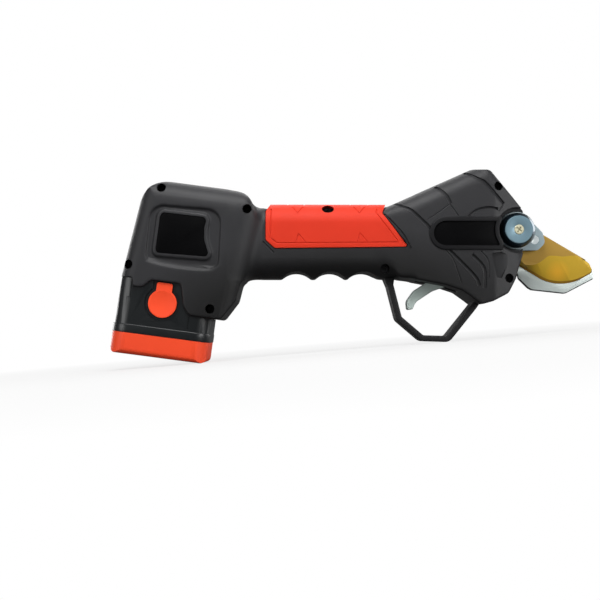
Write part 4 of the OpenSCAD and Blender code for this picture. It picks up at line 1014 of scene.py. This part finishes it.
carrier = {"pinR": 2.9, "disc": 12.8, "boss": 5.8,
           "lobe": [(0, -12.4, 0), (15.0, -12.3, 3), (19.8, -7.6, 4), (18.2, -0.8, 4), (8, 9.5, 0), (0, 0, 0)]}


def makeCarrier():
    b, c = blades, carrier
    low, high = b["carrierOut"], -drive["nutClear"] - 0.2
    plate = solid(bar(pivot, low, high, c["disc"], 96))
    lobe = [Vector(pivot) + p for p in roundCorners(c["lobe"], 8)]
    carve(plate, "UNION", [solid(prism(lobe, low, high))] + armShapes(low, high))
    slot = slotPath()
    carve(plate, "DIFFERENCE", [solid(prism(strip(slot, drive["slotHalf"]), low - 1, high + 1)),
                                solid(bar(slot[0], low - 1, high + 1, drive["slotHalf"])),
                                solid(bar(slot[14], low - 1, high + 1, drive["slotHalf"]))])
    easeEdges(plate, 0.4, 60)
    carve(plate, "UNION", [solid(bar(pivot, high - 0.1, b["carrierIn"], b["heel"], 64)),
                           solid(bar(drivePin, high - 0.1, b["carrierIn"], c["boss"], 48))])
    carve(plate, "DIFFERENCE", [solid(bar(pivot, -40, 20, b["bolt"] + 0.05, 64)),
                                solid(bar(drivePin, -40, 20, c["pinR"] + 0.02, 64))])
    finishPiece(plate, "carrierPlate", "blade", [carrierSteel], ["blade_carrier"])
    r, y = c["pinR"], b["carrierOut"]
    pin = solid(turned([(0, y + 0.25), (r - 0.9, y + 0.15), (r - 0.5, y), (r - 0.15, y), (r, y + 0.2), (r, -0.15),
                        (0, -0.15)], drivePin, 64))
    finishPiece(pin, "carrierPin", "blade", [pinBright], ["drive_pin"])


def makePivot():
    p, r, s = pivotCap, pivotCap["screwR"], pivotCap["shank"]
    base, top = p["inY"], p["inY"] - p["flange"] - p["high"]
    rim, seat, end = base - p["flange"], top + p["screwHigh"], top + p["screwLong"]
    hole, bore, bolt = r + 0.1, s + 0.1, p["boltR"]
    profile = [(bolt, base), (p["r"] - 0.3, base), (p["r"], base - 0.3), (p["r"], rim + 0.4), (p["r"] - 0.4, rim),
               (p["body"] + 0.1, rim), (p["body"], rim - 0.2), (p["body"], rim - p["high"] * 0.3),
               (p["face"] + 0.15, top + 0.3), (p["face"] - 0.2, top), (hole + 0.9, top), (hole + 0.3, top + 0.25),
               (hole, top + 0.3), (hole, seat), (bore, seat), (bore, rim), (bolt, rim), (bolt, base)]
    cap = solid(turned(profile, pivot, 96))
    wear(cap, [capBlue, capSideShaded, capRim])
    for face in cap.data.polygons:
        away = math.hypot(face.center.x - pivot[0], face.center.z - pivot[1])
        # the flank wears the darker copy of the blue, which is painted shade
        flank = abs(face.normal.y) < 0.5 and away > p["face"]
        face.material_index = 2 if away > p["body"] + 0.05 else 1 if flank else 0
    finishPiece(cap, "pivotCap", "casing", [], ["pivot_cap"])
    profile = [(0, top), (r - 0.3, top), (r, top + 0.3), (r, seat), (s, seat), (s, end), (0, end)]
    screw = solid(turned(profile, pivot, 56))
    long, narrow = p["slotHalf"]
    slots = [solid(block((-long, top - 1, -narrow), (long, top + p["slotDeep"], narrow)), placedAt(pivot, turn))
             for turn in (p["slotTurn"], p["slotTurn"] + math.pi / 2)]
    carve(screw, "DIFFERENCE", slots)
    finishPiece(screw, "pivotScrew", "casing", [brassScrew], ["pivot_screw"])


makeGold()
makeHook()
makeCarrier()
makePivot()
print("blades and pivot made")


# Battery pack

def footPlan(extra):
    x, y = pack["half"][0] + extra, pack["half"][1] + extra
    r = pack["cornerR"] + extra
    return roundCorners([(-x, -y, r), (x, -y, r), (x, y, r), (-x, y, r)], 8)


def footProfile(half):                        # rounded below and open upwards
    r = pack["footR"]
    return roundCorners([(-half, 0, r), (half, 0, r), (half, 90, 0), (-half, 90, 0)], 8)


def makePack():
    p, b = pack, button
    x, y = p["half"]
    case = solid(prism(footPlan(0), p["capH"], p["top"], "z"), packPlace)
    side = [(p["lift"] - x, p["capH"]), (40, p["capH"]), (40, p["top"]), (p["taper"] - x, p["top"])]
    carve(case, "INTERSECT", [solid(prism(side, -through, through), packPlace)])
    dock = grow(roundCorners(casing["rearOutline"], 8), p["dockGap"])
    carve(case, "DIFFERENCE", [solid(prism(dock, -through, through), packPlace)])
    band = solid(prism(footPlan(p["flare"]), p["capH"], p["capH"] + p["bandH"], "z", bevel=0.5), packPlace)
    carve(case, "UNION", [band, stemBlock(0, p["capH"] + 1, stem["top"])])
    cuts = [stemBlock(-p["wall"], p["capH"] - 1, stem["top"] - 2)]
    wide, deep = p["recess"]
    for extra, inward in ((gap, b["pocket"]), (wide, deep)):
        cuts += [buttonShapes(extra, -through, inward - y), buttonShapes(extra, y - inward, through)]
    halfU, halfY = p["contactHalf"]
    low, high = stem["top"] - 5, stem["top"] + 1
    for at in p["contacts"]:
        cuts.append(solid(block((-halfU, at - halfY, low), (halfU, at + halfY, high)), packPlace))
    for u0, u1, low, high in p["clips"]:
        for start, end in ((-y - 9, p["clipDeep"] - y), (y - p["clipDeep"], y + 9)):
            cuts.append(solid(block((u0, start, low), (u1, end, high)), packPlace))
    carve(case, "DIFFERENCE", cuts)
    easeEdges(case, 0.3, 55)
    finishPiece(case, "packCase", "battery", [packPlastic], ["battery_case"])
    foot = solid(prism(footPlan(0), 0, p["capH"], "z"), packPlace)
    carve(foot, "INTERSECT", [solid(prism(footProfile(x), -through, through), packPlace),
                              solid(prism(footProfile(y), -through, through, "x"), packPlace)])
    carve(foot, "DIFFERENCE", [stemBlock(-p["wall"], p["floor"], p["capH"] + 1)])
    finishPiece(foot, "packFoot", "battery", [capOrange], ["battery_cap"])
    print("pack made")


def makeButtons():
    b, out = button, -pack["half"][1]
    latch = buttonShapes(0, out, out + b["depth"])
    easeEdges(latch, 0.5, 50, 3)
    bm = bmesh.new()
    place = packPlace @ Matrix.Translation((b["u"], out - b["dishR"] + b["dishDeep"], b["v"]))
    bmesh.ops.create_uvsphere(bm, u_segments=64, v_segments=48, radius=b["dishR"], matrix=place)
    bowl = solid(bm)
    carve(bowl, "INTERSECT", [solid(bar((b["u"], b["v"]), -90, through, b["r"] - b["rim"], 64), packPlace)])
    carve(latch, "DIFFERENCE", [bowl])
    far = mirrored(latch)
    finishPiece(latch, "latchRight", "latch_right", [capOrange], ["latch_button_right"])
    finishPiece(far, "latchLeft", "latch_left", [capOrange], ["latch_button_left"])


makePack()
makeButtons()


# Solids that stay as they are get their finish

finishes = {
    "trigger_pin": boltSteel, "trigger_spring": springSteel, "trigger_switch": switchBlack, "pivot_bolt": boltSteel,
    "pivot_nut": gearSteel, "ball_nut": gearSteel, "ball_screw": boltSteel, "screw_bearing": gearSteel,
    "gearbox_cover": motorCase, "ring_gear": gearSteel, "planet_carrier": gearSteel, "planet_gear_1": gearSteel,
    "planet_gear_2": gearSteel, "planet_gear_3": gearSteel, "sun_gear": gearSteel, "motor_can": motorCase,
    "motor_stator": copperWire, "motor_rotor": gearSteel, "motor_bearings": gearSteel, "control_board": boardGreen,
    "terminal_block": switchBlack, "battery_cells": cellWrap, "battery_board": boardGreen,
    "battery_terminals": contactBrass, "latch_spring_right": springSteel, "latch_spring_left": springSteel,
}
for node, material in finishes.items():
    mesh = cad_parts[node].data
    mesh.materials.clear()
    mesh.materials.append(material)
print("inner solids finished:", len(finishes))


# Camera, floor and light

view = {"from": (-8.6, -660, -22), "at": (-0.6, 0, 0), "lens": 60.2, "lensAt": 660}
studio = {"floorSize": 6, "floorTone": 0.13, "floorSeen": 0.4, "fadeFrom": 0.16, "fadeTo": 0.5, "fadeLow": 0.75,
          "skyTone": 0.15, "skySeen": 0.85}   # seen: what the camera gets on top of the tone


def makeCamera(v):
    eye, aim = toRow @ Vector(v["from"]), toRow @ Vector(v["at"])
    up = (toRow.to_3x3() @ Vector((0, 0, 1))).normalized()
    ahead = (aim - eye).normalized()
    right = ahead.cross(up).normalized()
    camera = bpy.data.objects.new("camera", bpy.data.cameras.new("camera"))
    scene.collection.objects.link(camera)
    camera.data.sensor_width = 36
    camera.data.lens = v["lens"] * Vector(v["from"]).length / v["lensAt"]
    camera.data.clip_start, camera.data.clip_end = 0.01, 60
    turn = Matrix((right, right.cross(ahead), -ahead)).transposed()
    camera.matrix_world = Matrix.Translation(eye) @ turn.to_4x4()
    scene.camera = camera


def makeFloor(s):
    bm = bmesh.new()
    bmesh.ops.create_grid(bm, x_segments=1, y_segments=1, size=s["floorSize"])
    floor = solid(bm, None, "floor")
    material, start, shader = startMaterial("paleFloor", {"Roughness": 0.7, "Specular IOR Level": 0.1})
    tree = material.node_tree
    seen = start.node("LightPath", out="Is Camera Ray")
    plug(start, seen * s["floorSeen"] + s["floorTone"], shader, "Base Color")
    white = start.node("Emission", None, {"Color": (1, 1, 1, 1), "Strength": 1.0})
    spot = start.node("TexCoord", out=3)
    away = start.node("VectorMath", {"operation": "LENGTH"}, {0: spot}, out=1)
    fade = start.node("MapRange", None, {"Value": away, "From Min": s["fadeFrom"], "From Max": s["fadeTo"],
                                         "To Min": s["fadeLow"], "To Max": 1.0})
    mixed = start.node("MixShader", None, {0: seen * fade, 1: Wire(tree, shader.outputs[0]), 2: white})
    plug(start, mixed, tree.nodes["Material Output"], "Surface")
    floor.data.materials.append(material)


def makeWorld(s):
    world = bpy.data.worlds.new("studio")
    scene.world = world
    world.use_nodes = True
    start, back = Wire(world.node_tree), world.node_tree.nodes["Background"]
    seen = start.node("LightPath", out="Is Camera Ray")
    back.inputs["Color"].default_value = (1, 1, 1, 1)
    plug(start, seen * s["skySeen"] + s["skyTone"], back, "Strength")


lamps = {   # place, aim, size, power
    "key": ((-0.03, -0.26, 0.44), (0.0, 0.0, 0.09), 0.3, 2.6),
    "left": ((-0.75, -0.65, 0.16), (-0.03, 0.0, 0.06), 0.5, 3.0),
    "right": ((0.80, -0.62, 0.12), (0.06, 0.0, 0.06), 0.5, 7.5),
    "back": ((0.0, 0.35, 0.5), (0.0, 0.0, 0.08), 0.4, 1.4),
    "backLeft": ((-0.75, 0.65, 0.2), (-0.03, 0.0, 0.06), 0.5, 4.0),
    "backRight": ((0.80, 0.62, 0.2), (0.06, 0.0, 0.06), 0.5, 4.0),
}


def makeLamps():
    for name, (place, aim, size, power) in lamps.items():
        data = bpy.data.lights.new(name, "AREA")
        data.size, data.energy = size, power
        lamp = bpy.data.objects.new(name, data)
        scene.collection.objects.link(lamp)
        lamp.location = place
        lamp.rotation_euler = (Vector(aim) - Vector(place)).to_track_quat("-Z", "Y").to_euler()


makeCamera(view)
makeFloor(studio)
makeWorld(studio)
makeLamps()
scene.view_settings.view_transform = "Standard"
bpy.context.view_layer.update()
print("scene ready")
